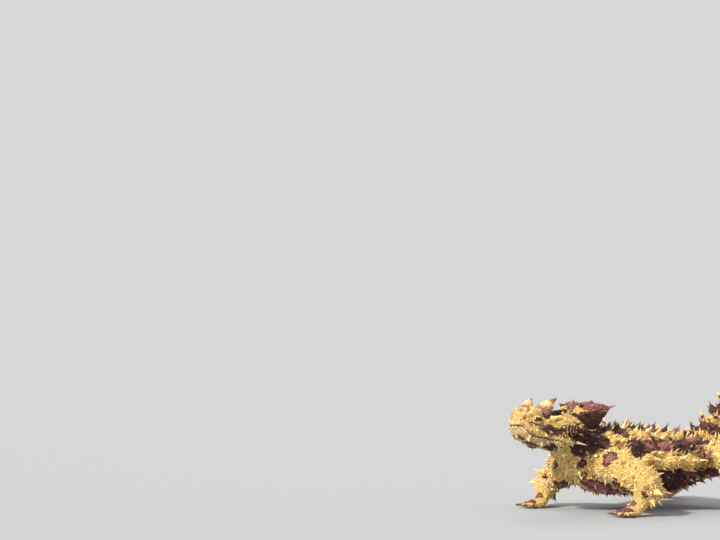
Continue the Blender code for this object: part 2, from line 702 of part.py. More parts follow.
built = {}
built["head"] = headSolid(cores["head"])
built["neck"] = applyBoolean(cores["neck"], "UNION", addSpines("neck", trunk, mirrored(
    [(0.7, 10.0, 3.2, 1.4), (1.15, -24.0, 3.0, 1.4), (0.75, -62.0, 1.6, 1.0)]), 0.3))
built["nape_knob"] = applyBoolean(cores["nape_knob"], "UNION", knobSpines())
built["torso"] = applyBoolean(cores["torso"], "UNION", trunkSpines("torso", neckEnd + 0.2, trunkEnd - 0.15))
for node, first, last in (("tail_base", trunkEnd, tailCuts[0]), ("tail_middle", *tailCuts),
                          ("tail_tip", tailCuts[1], tailLast + 0.12)):
    built[node] = applyBoolean(cores[node], "UNION", tailSpines(node, first, last))
for name, (upperLoft, lowerLoft, palmLoft) in legs.items():
    kind, tag = name.split("_")
    upper, lower, end = [part + "_" + tag for part in legNames[kind]]
    upperPlan, lowerPlan = (upperArmSpines, forearmSpines) if kind == "fore" else (thighSpines, shinSpines)
    built[upper] = applyBoolean(cores[upper], "UNION", addSpines(upper, upperLoft, upperPlan, 0.15))
    built[lower] = applyBoolean(cores[lower], "UNION", addSpines(lower, lowerLoft, lowerPlan, 0.1))
    built[end] = footSolid(name, cores[end])
for tag in "lr":
    built["horn_" + tag] = cores["horn_" + tag]
    built["eye_" + tag] = cores["eye_" + tag]

corners = [v.co for obj in built.values() for v in obj.data.vertices]
centre = Vector([(min(c[k] for c in corners) + max(c[k] for c in corners)) / 2 for k in (0, 1)] + [0])
for name, obj in built.items():
    for v in obj.data.vertices:
        v.co -= centre
    look = eyeLook if name.startswith("eye") else hornLook if name.startswith("horn") else skinLook
    finishNode(obj, name, look)
    print(name, len(obj.data.polygons))
print("shift", [round(c / mm, 3) for c in centre], "faces", sum(len(o.data.polygons) for o in built.values()))
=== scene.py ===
import itertools
import math
import random
from collections import namedtuple

import bmesh
import bpy
import numpy as np
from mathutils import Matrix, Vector, noise
from mathutils.bvhtree import BVHTree
from mathutils.kdtree import KDTree


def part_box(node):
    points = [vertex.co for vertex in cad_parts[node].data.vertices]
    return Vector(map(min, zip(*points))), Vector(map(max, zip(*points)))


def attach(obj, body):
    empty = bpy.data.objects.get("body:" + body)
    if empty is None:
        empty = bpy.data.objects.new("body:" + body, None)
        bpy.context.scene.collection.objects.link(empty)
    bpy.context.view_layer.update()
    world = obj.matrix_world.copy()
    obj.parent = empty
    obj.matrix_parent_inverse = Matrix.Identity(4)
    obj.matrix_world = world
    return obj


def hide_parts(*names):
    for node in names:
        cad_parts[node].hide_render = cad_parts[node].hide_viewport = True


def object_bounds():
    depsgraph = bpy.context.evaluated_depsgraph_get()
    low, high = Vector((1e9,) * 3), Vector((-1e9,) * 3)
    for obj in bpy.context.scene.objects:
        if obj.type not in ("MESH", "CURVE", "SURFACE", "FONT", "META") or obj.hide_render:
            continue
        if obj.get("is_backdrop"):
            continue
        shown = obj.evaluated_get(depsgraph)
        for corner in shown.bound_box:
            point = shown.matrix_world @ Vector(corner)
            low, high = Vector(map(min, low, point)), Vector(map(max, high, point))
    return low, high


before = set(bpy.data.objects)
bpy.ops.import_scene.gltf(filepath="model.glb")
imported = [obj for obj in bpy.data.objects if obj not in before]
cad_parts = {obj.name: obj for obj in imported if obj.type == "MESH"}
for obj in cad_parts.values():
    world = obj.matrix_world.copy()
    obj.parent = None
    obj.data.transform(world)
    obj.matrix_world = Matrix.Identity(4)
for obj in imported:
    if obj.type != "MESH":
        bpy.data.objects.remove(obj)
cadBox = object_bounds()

# Lengths are millimetres in the lizard's own frame: it faces -Y, +X is its left, the floor is z = 0
mm = 0.001
drawn = random.Random(7)
grains = np.random.default_rng(7)
bothSides = {1: "Left", -1: "Right"}
segments = ("Upper", "Lower", "Palm")
straight = (Vector((1, 0, 0)), Vector((0, 1, 0)), Vector((0, 0, 1)))
aslant = (0.31, 0.22, 0.92)  # a way that no spine points along

trunk = {
    # x, y, z of the middle, half width, height above it, depth below it
    "stations": [
        (-3.9, -9.2, 27.0, 6.0, 4.4, 5.0), (-2.9, -2.4, 23.9, 7.8, 6.2, 8.4), (-1.6, 3.4, 20.4, 9.8, 8.6, 11.2),
        (-0.6, 10.0, 17.8, 13.6, 11.2, 12.4), (0.2, 18.0, 16.8, 16.9, 12.2, 12.0),
        (0.5, 27.0, 16.4, 18.2, 12.0, 11.8), (0.4, 36.0, 16.2, 17.2, 11.2, 11.4),
        (0.2, 45.0, 16.4, 13.8, 9.8, 10.4), (0.0, 52.5, 17.6, 10.4, 7.8, 9.0), (0.0, 59.0, 20.4, 7.9, 6.4, 7.2)],
    "tailLength": 72.0, "startSlope": 34.0, "endSlope": 74.0, "sway": 7.0, "startRadius": 7.0,
    "endRadius": 1.9, "tailSteps": 8, "end": 9.0, "tailFlat": 0.92, "taper": 0.9,
}
head = {
    "turn": 6.0, "pitch": 9.0, "root": (-3.85, -5.53, 26.17),
    # distance forward, rise of the middle, half width, height above it, depth below it
    "stations": [
        (-0.6, -1.6, 7.0, 5.0, 5.2), (2.2, -0.8, 8.6, 6.4, 6.0), (5.8, -0.2, 9.2, 7.2, 6.2),
        (9.8, 0.0, 8.8, 7.9, 6.0), (13.2, 0.2, 7.7, 7.5, 5.6), (15.4, 0.6, 6.7, 6.4, 5.2),
        (16.9, 1.1, 5.6, 5.0, 4.4), (18.0, 1.5, 4.2, 3.3, 3.1)],
    # brow over the eye, swell of the jaw muscle, foot of the horn, side of the snout: place and radii
    "swells": [((13.4, 5.3, 4.9), (3.6, 1.7, 1.6)), ((6.4, 6.9, -0.8), (3.6, 1.9, 3.2)),
               ((11.6, 4.7, 5.1), (3.1, 2.7, 2.6)), ((16.6, 2.9, 3.7), (2.0, 1.3, 1.5))],
    # the front of the head gets a finer hide: how far forward, how wide and how high that is
    "fine": (10.2, 11, 9),
}
eye = {"forward": 14.3, "side": 6.2, "rise": 2.5, "radius": 1.7, "openWide": 1.36, "openHigh": 0.4,
       "lidThick": 0.15}
horn = {"forward": 11.7, "side": 4.6, "rise": 5.2, "radius": 2.75, "length": 8.1, "lean": (0.36, 0.10, 0.88),
        "curl": (0.32, 0.16)}
knob = {"middle": (-1.8, 1.8, 32.3), "apart": 3.7, "radii": (4.6, 6.1, 5.1), "tip": (1.2, 3.2, 1.6),
        "tipWay": (0.25, 0.9, 0.36), "tipSize": (4.6, 3.2)}
legs = {
    "joints": {
        "foreLeft": [(8.0, 5.5, 16.2), (26.4, 6.3, 10.2), (25.8, 2.6, 4.8), (26.2, -1.6, 1.7)],
        "foreRight": [(-9.0, 6.2, 15.0), (-24.4, 8.2, 9.6), (-20.2, 0.9, 5.1), (-18.2, -3.2, 1.7)],
        "hindLeft": [(7.0, 52.0, 16.4), (27.5, 46.5, 17.4), (32.4, 60.0, 5.0), (33.6, 55.6, 1.8)],
        "hindRight": [(-7.0, 53.0, 16.4), (-27.0, 57.0, 16.4), (-25.6, 74.0, 5.4), (-28.0, 70.0, 1.8)]},
    "toesPoint": {"foreLeft": (-0.10, -0.99), "foreRight": (-0.30, -0.95), "hindLeft": (0.34, -0.94),
                  "hindRight": (-0.62, -0.78)},
    "radii": {"fore": (6.1, 5.7, 4.9, 4.6, 3.1, 3.1), "hind": (7.2, 5.8, 4.8, 4.2, 2.9, 3.2)},
    "toeLength": 3.3, "toeRadius": 0.95, "toeFan": 31.0, "hindToes": 1.25, "outerToes": 0.09,
    # where a toe starts ahead of the palm, along itself and above the floor; its knuckle and its end
    "toeRoot": (1.9, 0.6, 1.15), "knuckle": (0.72, 0.12), "toeEnd": (0.7, -0.15),
    "claw": 2.1, "clawRadius": 0.52,
}
hide = {"coatDepth": 0.3, "voxel": 0.485, "smoothing": 3}

turn, pitch = math.radians(head["turn"]), math.radians(head["pitch"])
headForward = Vector((-math.sin(turn) * math.cos(pitch), -math.cos(turn) * math.cos(pitch), math.sin(pitch)))
headLeft = Vector((math.cos(turn), -math.sin(turn), 0))
headUp = headLeft.cross(headForward)
headUp = headUp if headUp.z > 0 else -headUp
headRoot = Vector(head["root"])


def inHead(forward, side, rise):
    return headRoot + headForward * forward + headLeft * side + headUp * rise


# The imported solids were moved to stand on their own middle: the left eye says by how much
low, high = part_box("eye_l")
eyeHome = inHead(eye["forward"], eye["side"], eye["rise"])
away = np.array([eyeHome[k] - 500 * (low[k] + high[k]) for k in range(3)])
away[2] = 0.0


def toRow(points):
    return (np.asarray(points, dtype=float) - away) * mm


def circle(count):
    return [(math.cos(math.tau * j / count), math.sin(math.tau * j / count)) for j in range(count)]


class Loft:
    # a smooth tube through stations: middle, half width, height above, depth below, side direction
    def __init__(self, stations, upHint):
        self.rows = [(*middle, w, top, under, *side) for middle, w, top, under, side in stations]
        self.upHint = Vector(upHint)
        self.last = len(stations) - 1

    def values(self, t):
        t = min(max(t, 0.0), self.last - 1e-6)
        i = int(t)
        f = t - i
        a, b, c, d = [np.array(self.rows[min(max(i + k, 0), self.last)]) for k in (-1, 0, 1, 2)]
        return b + 0.5 * f * (c - a + f * (2 * a - 5 * b + 4 * c - d + f * (3 * (b - c) + d - a)))

    def frame(self, t):
        v = self.values(t)
        along = Vector(self.values(t + 0.02)[:3] - self.values(t - 0.02)[:3]).normalized()
        side = Vector(v[6:9])
        side = (side - along * side.dot(along)).normalized()
        up = along.cross(side)
        if up.dot(self.upHint) < 0:
            up.negate()
        return Vector(v[:3]), along, side, up, v[3], v[4], v[5]

    def ring(self, t, count, grow=0.0, scale=1.0, push=0.0):
        middle, along, side, up, wide, top, under = self.frame(t)
        ring = []
        for c, s in circle(count):
            reach = side * ((wide + grow) * c) + up * (((top if s > 0 else under) + grow) * s)
            ring.append(middle + reach * scale + along * push)
        return ring

    def point(self, t, angle):
        middle, _, side, up, wide, top, under = self.frame(t)
        c, s = math.cos(angle), math.sin(angle)
        return middle + side * (wide * c) + up * ((top if s > 0 else under) * s)

    def outward(self, t, angle):
        dt = self.point(t + 0.05, angle) - self.point(t - 0.05, angle)
        da = self.point(t, angle + 0.05) - self.point(t, angle - 0.05)
        normal = dt.cross(da).normalized()
        return normal if normal.dot(self.point(t, angle) - self.frame(t)[0]) > 0 else -normal


def trunkLoft():
    stations = [((x, y, z), w, top, under, (1, 0, 0)) for x, y, z, w, top, under in trunk["stations"]]
    at = Vector(trunk["stations"][-1][:3])
    steps, step = trunk["tailSteps"], trunk["tailLength"] / trunk["tailSteps"]
    for i in range(1, steps + 1):
        share = (i - 0.5) / steps
        slope = math.radians(trunk["startSlope"] + (trunk["endSlope"] - trunk["startSlope"]) * share)
        at = at + Vector((trunk["sway"] / steps * 2 * share, math.cos(slope) * step, math.sin(slope) * step))
        r = trunk["startRadius"] + (trunk["endRadius"] - trunk["startRadius"]) * (i / steps) ** trunk["taper"]
        stations.append((at, r, r * trunk["tailFlat"], r * trunk["tailFlat"], (1, 0, 0)))
    return Loft(stations, (0, -0.7, 1))


def headLoft():
    stations = [(inHead(forward, 0, rise), w, top, under, headLeft)
                for forward, rise, w, top, under in head["stations"]]
    return Loft(stations, (0, 0, 1))


def legLofts(name):
    a, b, c, d = [Vector(p) for p in legs["joints"][name]]
    r = legs["radii"][name[:4]]
    outer = 1 if name.endswith("Left") else -1
    point = Vector((*legs["toesPoint"][name], 0)).normalized()
    inward, ahead = (outer * point.y, -outer * point.x, 0), (0, -1, 0)
    elbow = Vector((outer * 0.5, 0, 0))
    upper = [(a, r[0], r[0], r[0]), (a.lerp(b, 0.5), r[1], r[1] * 1.05, r[1]), (b, r[2], r[2], r[2])]
    lower = [(b, r[2] * 0.93, r[2] * 0.93, r[2] * 0.93), (b.lerp(c, 0.45) + elbow, r[3], r[3] * 1.08, r[3]),
             (c, r[4] * 1.08, r[4], r[4])]
    palm = [(c + Vector((0, 0, -0.4)), r[4], r[4] * 0.85, r[4] * 0.85), (d, r[5] * 1.1, 1.9, 2.1),
            (d + point * 2.6, r[5], 1.4, 1.9)]
    return [Loft([(*station, way) for station in stations], (outer, 0, 0.6))
            for stations, way in ((upper, ahead), (lower, ahead), (palm, inward))]


trunkForm, headForm = trunkLoft(), headLoft()
legForms = {name: legLofts(name) for name in legs["joints"]}
# every loft with its own number, so that a place on the hide can be told by part, station and angle
forms = [("trunk", trunkForm), ("head", headForm)]
for legName, three in legForms.items():
    forms += [(legName + segment, form) for segment, form in zip(segments, three)]
partNames = [name for name, _ in forms]
knobPart = len(forms)
print("forms:", len(forms))


def segmentOf(name):
    return [segment for segment in segments if name.endswith(segment)][0]


def lobes():
    # which side each lobe of the knob is on, and its middle
    return [(side, Vector(knob["middle"]) + Vector((side * knob["apart"], 0, 0))) for side in bothSides]


def ringFaces(start, rings, count, joined=False):
    # quads between rings of points, with the last ring joined to the first or not
    steps = [(start + r * count, start + (r + 1) % rings * count) for r in range(rings if joined else rings - 1)]
    return [(a + j, a + (j + 1) % count, b + (j + 1) % count, b + j) for a, b in steps for j in range(count)]


def linked(name, data):
    made = bpy.data.objects.new(name, data)
    bpy.context.scene.collection.objects.link(made)
    return made


def facingOut(name, points, faces, material=None):
    # a mesh with all its faces turned outwards
    mesh = bpy.data.meshes.new(name)
    mesh.from_pydata([tuple(p) for p in toRow([tuple(p) for p in points])], [], faces)
    body = bmesh.new()
    body.from_mesh(mesh)
    bmesh.ops.recalc_face_normals(body, faces=body.faces)
    body.to_mesh(mesh)
    body.free()
    if material:
        mesh.shade_smooth()
        mesh.materials.append(material)
    return linked(name, mesh)


def joinShapes(name, shapes, material=None):
    # a shape is rings of points and its two end points, or none where its last ring meets its first
    points, faces = [], []
    for rings, ends in shapes:
        start, count = len(points), len(rings[0])
        points += [p for ring in rings for p in ring]
        faces += ringFaces(start, len(rings), count, not ends)
        for r, at in zip((0, len(rings) - 1), ends):
            points.append(at)
            foot = start + r * count
            faces += [(foot + j, foot + (j + 1) % count, len(points) - 1) for j in range(count)]
    return facingOut(name, points, faces, material)


def middleOf(ring):
    return sum((Vector(p) for p in ring), Vector()) / len(ring)


def loftShape(form, start, end, steps, count, grow, roundStart=0.6, roundEnd=0.6):
    rings = [form.ring(start + (end - start) * i / steps, count, grow) for i in range(steps + 1)]
    for share, out in ((0.86, 0.45), (0.5, 0.84)):
        rings.insert(0, form.ring(start, count, grow, share, -roundStart * out))
        rings.append(form.ring(end, count, grow, share, roundEnd * out))
    first, last = form.frame(start), form.frame(end)
    return rings, (first[0] - first[1] * roundStart, last[0] + last[1] * roundEnd)


def ballShape(middle, radii, axes, count=20, rows=12):
    rings = []
    for i in range(1, rows):
        tilt = math.pi * i / rows
        a, b = radii[0] * math.sin(tilt), radii[1] * math.sin(tilt)
        rise = axes[2] * (radii[2] * math.cos(tilt))
        rings.append([middle + axes[0] * (a * c) + axes[1] * (b * s) + rise for c, s in circle(count)])
    return rings, (middle + axes[2] * radii[2], middle - axes[2] * radii[2])


def coneShape(root, direction, length, radius, full=0.66, count=12):
    # full is the width at a third of the length as a share of the foot's
    side = direction.cross(Vector((0.3, 0.2, 0.9))).normalized()
    other = direction.cross(side)
    rings = [[root + direction * (length * share) + (side * c + other * s) * (radius * width)
              for c, s in circle(count)]
             for share, width in ((-0.35, 1.0), (0.0, 1.0), (0.35, full), (0.75, full * 0.5))]
    return rings, (root - direction * (length * 0.4), root + direction * length)


spinePlan = {
    # angle above the side, first and last station, how many, length, radius, all mirrored on the other side
    "trunk": [
        (70, 2.9, 8.6, 9, 4.0, 1.4), (47, 2.4, 8.5, 8, 5.0, 1.8), (25, 2.6, 8.5, 7, 5.8, 2.1),
        (3, 3.0, 8.4, 7, 7.2, 2.5), (-20, 3.1, 8.2, 8, 4.2, 1.6), (-42, 2.2, 8.0, 8, 2.8, 1.2),
        (-66, 2.0, 7.8, 7, 1.9, 1.0)],
    # angle, length, radius of each spine in a ring of the tail
    "tail": [(62, 4.2, 1.5), (18, 5.2, 1.7), (-24, 3.4, 1.3), (-66, 1.7, 0.9)],
    "tailRingGap": 6.3, "tailShrink": 0.48, "tailStagger": 0.16,
    # station, angle, length, radius, lean back, lean up
    "head": [
        (1.35, 29, 7.0, 2.4, 0.75, -0.5), (1.75, 64, 4.8, 1.9, 0.6, 0.0), (1.5, -19, 7.2, 2.3, 1.2, 0.55),
        (1.0, 80, 4.6, 1.1, 0.1, 0.0), (2.8, 30, 3.0, 1.1, 0.6, 0.0), (2.1, -50, 2.2, 1.0, 0.4, 0.0),
        (3.2, -52, 1.6, 0.9, 0.2, 0.0), (4.5, -54, 1.4, 0.8, 0.1, 0.0), (5.3, 66, 1.8, 0.9, -0.1, 0.0),
        (6.0, 70, 1.4, 0.8, -0.2, 0.0)],
    "neck": [(0.7, 10, 3.2, 1.4, 0.3), (1.15, -24, 3.0, 1.4, 0.3), (0.75, -62, 1.6, 1.0, 0.3)],
    # x, y, z of the way it points, size
    "knob": [(0.34, 0.86, 0.36, 1.2), (0.85, 0.45, 0.25, 0.55), (0.2, 0.2, 1.0, 0.3), (0.75, -0.1, 0.65, 0.4),
             (0.3, -0.65, 0.7, 0.4), (0.25, 0.85, 0.6, 0.45), (0.8, -0.6, 0.15, 0.45)],
    "knobSpine": (4.2, 1.7),
    # station, angle, length, radius
    "foreUpper": [(0.75, 95, 3.0, 1.4), (1.05, 40, 2.6, 1.2), (1.1, 140, 2.6, 1.2), (1.5, 85, 3.4, 1.5),
                  (1.6, 20, 2.4, 1.1)],
    "hindUpper": [(0.95, 85, 4.0, 1.6), (1.0, 35, 3.2, 1.4), (1.05, 140, 3.0, 1.3), (1.4, 70, 4.4, 1.7),
                  (1.55, 15, 3.0, 1.3), (1.5, 125, 3.6, 1.5)],
    "foreLower": [(0.3, 60, 3.6, 1.4), (0.4, 10, 2.6, 1.1), (0.5, 130, 3.2, 1.3), (0.95, 85, 3.2, 1.2),
                  (1.0, 30, 2.4, 1.0), (1.1, 150, 2.4, 1.0), (1.5, 95, 2.2, 1.0)],
    "hindLower": [(0.3, 75, 4.4, 1.6), (0.4, 20, 3.0, 1.2), (0.45, 140, 3.2, 1.3), (0.9, 95, 3.6, 1.3),
                  (1.0, 40, 2.6, 1.1), (1.1, 150, 2.6, 1.1), (1.5, 90, 2.4, 1.0)],
    # how far the spines of each part lean back
    "lean": {"trunk": 0.3, "tail": 0.35, "Upper": 0.15, "Lower": 0.1},
    "sizeSpread": 0.14, "bend": 0.18, "granularFrom": 1.2,
    # along the trunk: least size, how much more in the middle, where that starts and how long it is
    "trunkSwell": (0.72, 0.28, 2.0, 7.2), "shorter": 0.8,
    # a mound of hide under each spine: length, width and fullness, and from which radius it is a big one
    "mound": (0.8, 1.15, 0.7), "bigMound": (0.95, 1.4, 0.82), "bigFrom": 2.25,
}
Spine = namedtuple("Spine", "root way bend length radius part")


def surfaceSamples():
    # places all over the lofts, each with its part, station, angle and the way towards the tail or toes
    rows = []
    for number, (name, form) in enumerate(forms):
        steps, count = {"trunk": (170, 72), "head": (90, 72)}.get(name, (26, 28))
        for i in range(steps + 1):
            t = form.last * i / steps
            along = form.frame(t)[1] * (-1 if name == "head" else 1)
            rows += [(*p, number, t, 360.0 * j / count, *along) for j, p in enumerate(form.ring(t, count))]
    for _, at in reversed(lobes()):
        for ring in ballShape(at, knob["radii"], straight)[0]:
            rows += [(*p, knobPart, 0.0, 0.0, 0.0, 1.0, 0.0) for p in ring]
    return np.array(rows)


samples = surfaceSamples()
tree = KDTree(len(samples))
for i, row in enumerate(samples):
    tree.insert(row[:3], i)
tree.balance()


def places(points):
    # part, station, angle and lie of the nearest sample
    return samples[[tree.find(p)[1] for p in points]][:, 3:]


def placesOn(points, parts):
    # the same, each on its own part
    found = [tree.find(p, filter=lambda i, part=part: samples[i][3] == part)[1] for p, part in zip(points, parts)]
    return samples[found][:, 3:]


def mirroredRows(rows):
    return rows + [(t, 180.0 - angle, *rest) for t, angle, *rest in rows]


def trunkSpines():
    lean = spinePlan["lean"]
    least, swell, swellFrom, swellLong = spinePlan["trunkSwell"]
    rows, tail = [], []
    for k, (angle, start, end, count, length, radius) in enumerate(spinePlan["trunk"]):
        for i in range(count):
            t = start + (end - start) * i / (count - 1)
            # longest in the middle of the trunk, and every other one shorter
            size = least + swell * math.sin(math.pi * (t - swellFrom) / swellLong)
            size *= 1.0 if (i + k) % 2 else spinePlan["shorter"]
            rows.append((t, angle, length * size, radius * size, lean["trunk"]))
    t = trunk["end"] + 0.45
    while t < trunkForm.last - 0.4:
        size = 1.0 - spinePlan["tailShrink"] * (t - trunk["end"]) / (trunkForm.last - trunk["end"])
        for k, (angle, length, radius) in enumerate(spinePlan["tail"]):
            aside = spinePlan["tailStagger"] if k % 2 else 0.0
            tail.append((t + aside, angle, length * size, radius * size, lean["tail"]))
        t += spinePlan["tailRingGap"] * (0.62 + 0.38 * size) * trunk["tailSteps"] / trunk["tailLength"]
    return [(0, trunkForm, mirroredRows(rows + spinePlan["neck"])), (0, trunkForm, mirroredRows(tail))]


def bigSpines():
    # every spine that the solids have room for
    plans = trunkSpines()
    onHead = [(t, angle, length, radius, -back, up) for t, angle, length, radius, back, up in spinePlan["head"]]
    plans.append((1, headForm, mirroredRows(onHead)))
    for number, (name, form) in enumerate(forms[2:], 2):
        if segmentOf(name) != "Palm":
            rows = spinePlan[name[:4] + segmentOf(name)]
            plans.append((number, form, [(*row, spinePlan["lean"][segmentOf(name)]) for row in rows]))
    made = []
    for number, form, rows in plans:
        for t, angle, length, radius, back, *lift in rows:
            size = 1 + drawn.uniform(-spinePlan["sizeSpread"], spinePlan["sizeSpread"])
            root, out = form.point(t, math.radians(angle)), form.outward(t, math.radians(angle))
            along, up = form.frame(t)[1], form.frame(t)[3]
            direction = (out + along * back + up * (lift[0] if lift else 0)).normalized()
            near = [samples[i][3] for _, i, _ in tree.find_range(root + direction * 0.8, min(radius, 1.4))]
            if number == 0 and any(other != number for other in near):
                continue
            bend = along * (spinePlan["bend"] * back)
            made.append(Spine(root, direction, bend, length * size, radius * size, number))
    for side, middle in lobes():
        for x, y, z, size in spinePlan["knob"]:
            out = Vector((x * side, y, z)).normalized()
            root = middle + Vector([out[k] * knob["radii"][k] for k in range(3)])
            length, radius = [value * size for value in spinePlan["knobSpine"]]
            made.append(Spine(root, out, Vector((0, 0.2, 0)), length, radius, knobPart))
    return made


spines = bigSpines()
print("big spines:", len(spines))


def toePlan(name):
    # start, knuckle, end and direction of each toe
    palm = Vector(legs["joints"][name][3])
    point = Vector((*legs["toesPoint"][name], 0)).normalized()
    longer = legs["hindToes"] if name.startswith("hind") else 1.0
    ahead, out, height = legs["toeRoot"]
    (bent, lift), (more, drop) = legs["knuckle"], legs["toeEnd"]
    plan = []
    for k in range(-2, 3):
        fan = math.radians(legs["toeFan"] * k)
        way = Vector((point.x * math.cos(fan) - point.y * math.sin(fan),
                      point.x * math.sin(fan) + point.y * math.cos(fan), 0))
        reach = legs["toeLength"] * longer * (1.0 - legs["outerToes"] * abs(k))
        start = palm + point * ahead + way * out
        start.z = height
        plan.append((start, start + way * (reach * bent) + Vector((0, 0, lift)),
                     start + way * (reach + more) + Vector((0, 0, drop)), way))
    return plan


def toeShapes(name):
    shapes = []
    for start, knuckle, end, way in toePlan(name):
        r = legs["toeRadius"]
        stations = ((start, r * 1.05), (start.lerp(knuckle, 0.55), r * 0.86), (knuckle, r), (end, r * 0.72))
        form = Loft([(p, w, w, w, (-way.y, way.x, 0)) for p, w in stations], (0, 0, 1))
        shapes.append(loftShape(form, 0.0, 3.0, 10, 16, -0.06, 0.5, 0.5))
    return shapes


def hideShapes():
    grow = -hide["coatDepth"]
    shapes = [loftShape(trunkForm, 0.0, trunkForm.last, 150, 56, grow, 1.0, 1.6),
              loftShape(headForm, 0.0, headForm.last, 60, 56, grow, 1.5, 1.4)]
    for side, middle in lobes():
        x, y, z = knob["tip"]
        a, b, c = knob["tipWay"]
        shapes.append(ballShape(middle, [r + grow for r in knob["radii"]], straight))
        shapes.append(coneShape(middle + Vector((side * x, y, z)), Vector((a * side, b, c)).normalized(),
                                *knob["tipSize"]))
        for (forward, out, rise), radii in head["swells"]:
            shapes.append(ballShape(inHead(forward, side * out, rise), radii, (headForward, headLeft, headUp)))
    for name, (upper, lower, palm) in legForms.items():
        shapes += [loftShape(upper, 0.0, 2.0, 16, 28, grow, 1.0, 2.6),
                   loftShape(lower, 0.0, 2.0, 12, 28, grow, 1.6, 1.6),
                   loftShape(palm, 0.0, 2.0, 10, 28, grow * 0.6, 1.0, 1.2)]
        shapes += toeShapes(name)
    for spine in spines:
        if spine.radius > spinePlan["granularFrom"]:
            high, wide, full = spinePlan["bigMound" if spine.radius > spinePlan["bigFrom"] else "mound"]
            shapes.append(coneShape(spine.root - spine.way * 0.4, spine.way, spine.length * high,
                                    spine.radius * wide, full))
    return shapes


def makeHide():
    skin = joinShapes("hide", hideShapes())
    remesh = skin.modifiers.new("remesh", "REMESH")
    remesh.mode = "VOXEL"
    remesh.voxel_size = hide["voxel"] * mm
    remesh.use_smooth_shade = True
    graph = bpy.context.evaluated_depsgraph_get()
    made = bpy.data.meshes.new_from_object(skin.evaluated_get(graph))
    skin.modifiers.clear()
    skin.data = made
    # finer on the front of the head, then smoothed all over
    body = bmesh.new()
    body.from_mesh(made)
    forward, wide, high = head["fine"]
    fine = []
    for face in body.faces:
        local = Vector(np.array(face.calc_center_median()) / mm + away) - headRoot
        if local.dot(headForward) > forward and abs(local.dot(headLeft)) < wide and local.dot(headUp) < high:
            fine.append(face)
    edges = list({edge for face in fine for edge in face.edges})
    bmesh.ops.subdivide_edges(body, edges=edges, cuts=1, use_grid_fill=True)
    for _ in range(hide["smoothing"]):
        bmesh.ops.smooth_vert(body, verts=body.verts, factor=0.5,
                              use_axis_x=True, use_axis_y=True, use_axis_z=True)
    body.to_mesh(made)
    body.free()
    return skin


skin = makeHide()
print("hide faces:", len(skin.data.polygons))


def read(rows, key):
    flat = np.empty(len(rows) * 3)
    rows.foreach_get(key, flat)
    return flat.reshape(-1, 3)


def readPoints(mesh):
    return read(mesh.vertices, "co") / mm + away


face = {
    "mouthFrom": 4.4, "mouthWave": 0.25, "grooveWide": 0.25, "grooveDeep": 0.42, "lip": 0.16, "lipWide": 0.7,
    "nostril": (17.6, 4.0, 2.7), "nostrilWide": 0.5, "nostrilDeep": 0.7, "nostrilRim": (0.22, 1.05, 0.32),
    "ear": (2.9, 8.8, -0.2), "earWide": (0.9, 1.3), "earDeep": 1.0, "socketWide": 1.8, "socketDeep": 0.2,
    # the ridge runs from brow to nostril and the hollow lies before the eye: places and widths
    "ridge": 0.3, "ridgeAt": (15.6, 1.6, 4.6, 0.7), "ridgeFall": -0.12,
    "hollow": 0.35, "hollowAt": ((16.4, 1.1), (5.4, 1.5), (2.0, 1.0)), "folds": 0.12, "lowest": 0.03,
}


def headPlaces(points):
    # forward, left and up in the head's own frame
    local = points - np.array(headRoot)
    return local @ np.array(headForward), local @ np.array(headLeft), local @ np.array(headUp)


def mouthHeight(forward):
    stations = np.array(head["stations"])
    rise = np.interp(forward, stations[:, 0], stations[:, 1])
    under = np.interp(forward, stations[:, 0], stations[:, 4])
    wave = face["mouthWave"] * np.sin((forward - 6.0) * 0.55)
    return rise - 0.52 * under + wave * (forward < 18)


def eyeFrame(side):
    # middle, the way it looks, and the two ways along the lids
    middle = inHead(eye["forward"], side * eye["side"], eye["rise"])
    out = (headLeft * side + headUp * 0.2 + headForward * 0.18).normalized()
    long = (headForward - out * headForward.dot(out)).normalized()
    return middle, out, long, out.cross(long) * side


def hump(far, wide, power=2):
    # 1 in the middle, fading to 0 past the width
    return np.exp(-(far / wide) ** power)


def earDistance(u, w):
    a, _, c = face["ear"]
    wide, high = face["earWide"]
    return np.sqrt(((u - a) / wide) ** 2 + ((w - c) / high) ** 2)


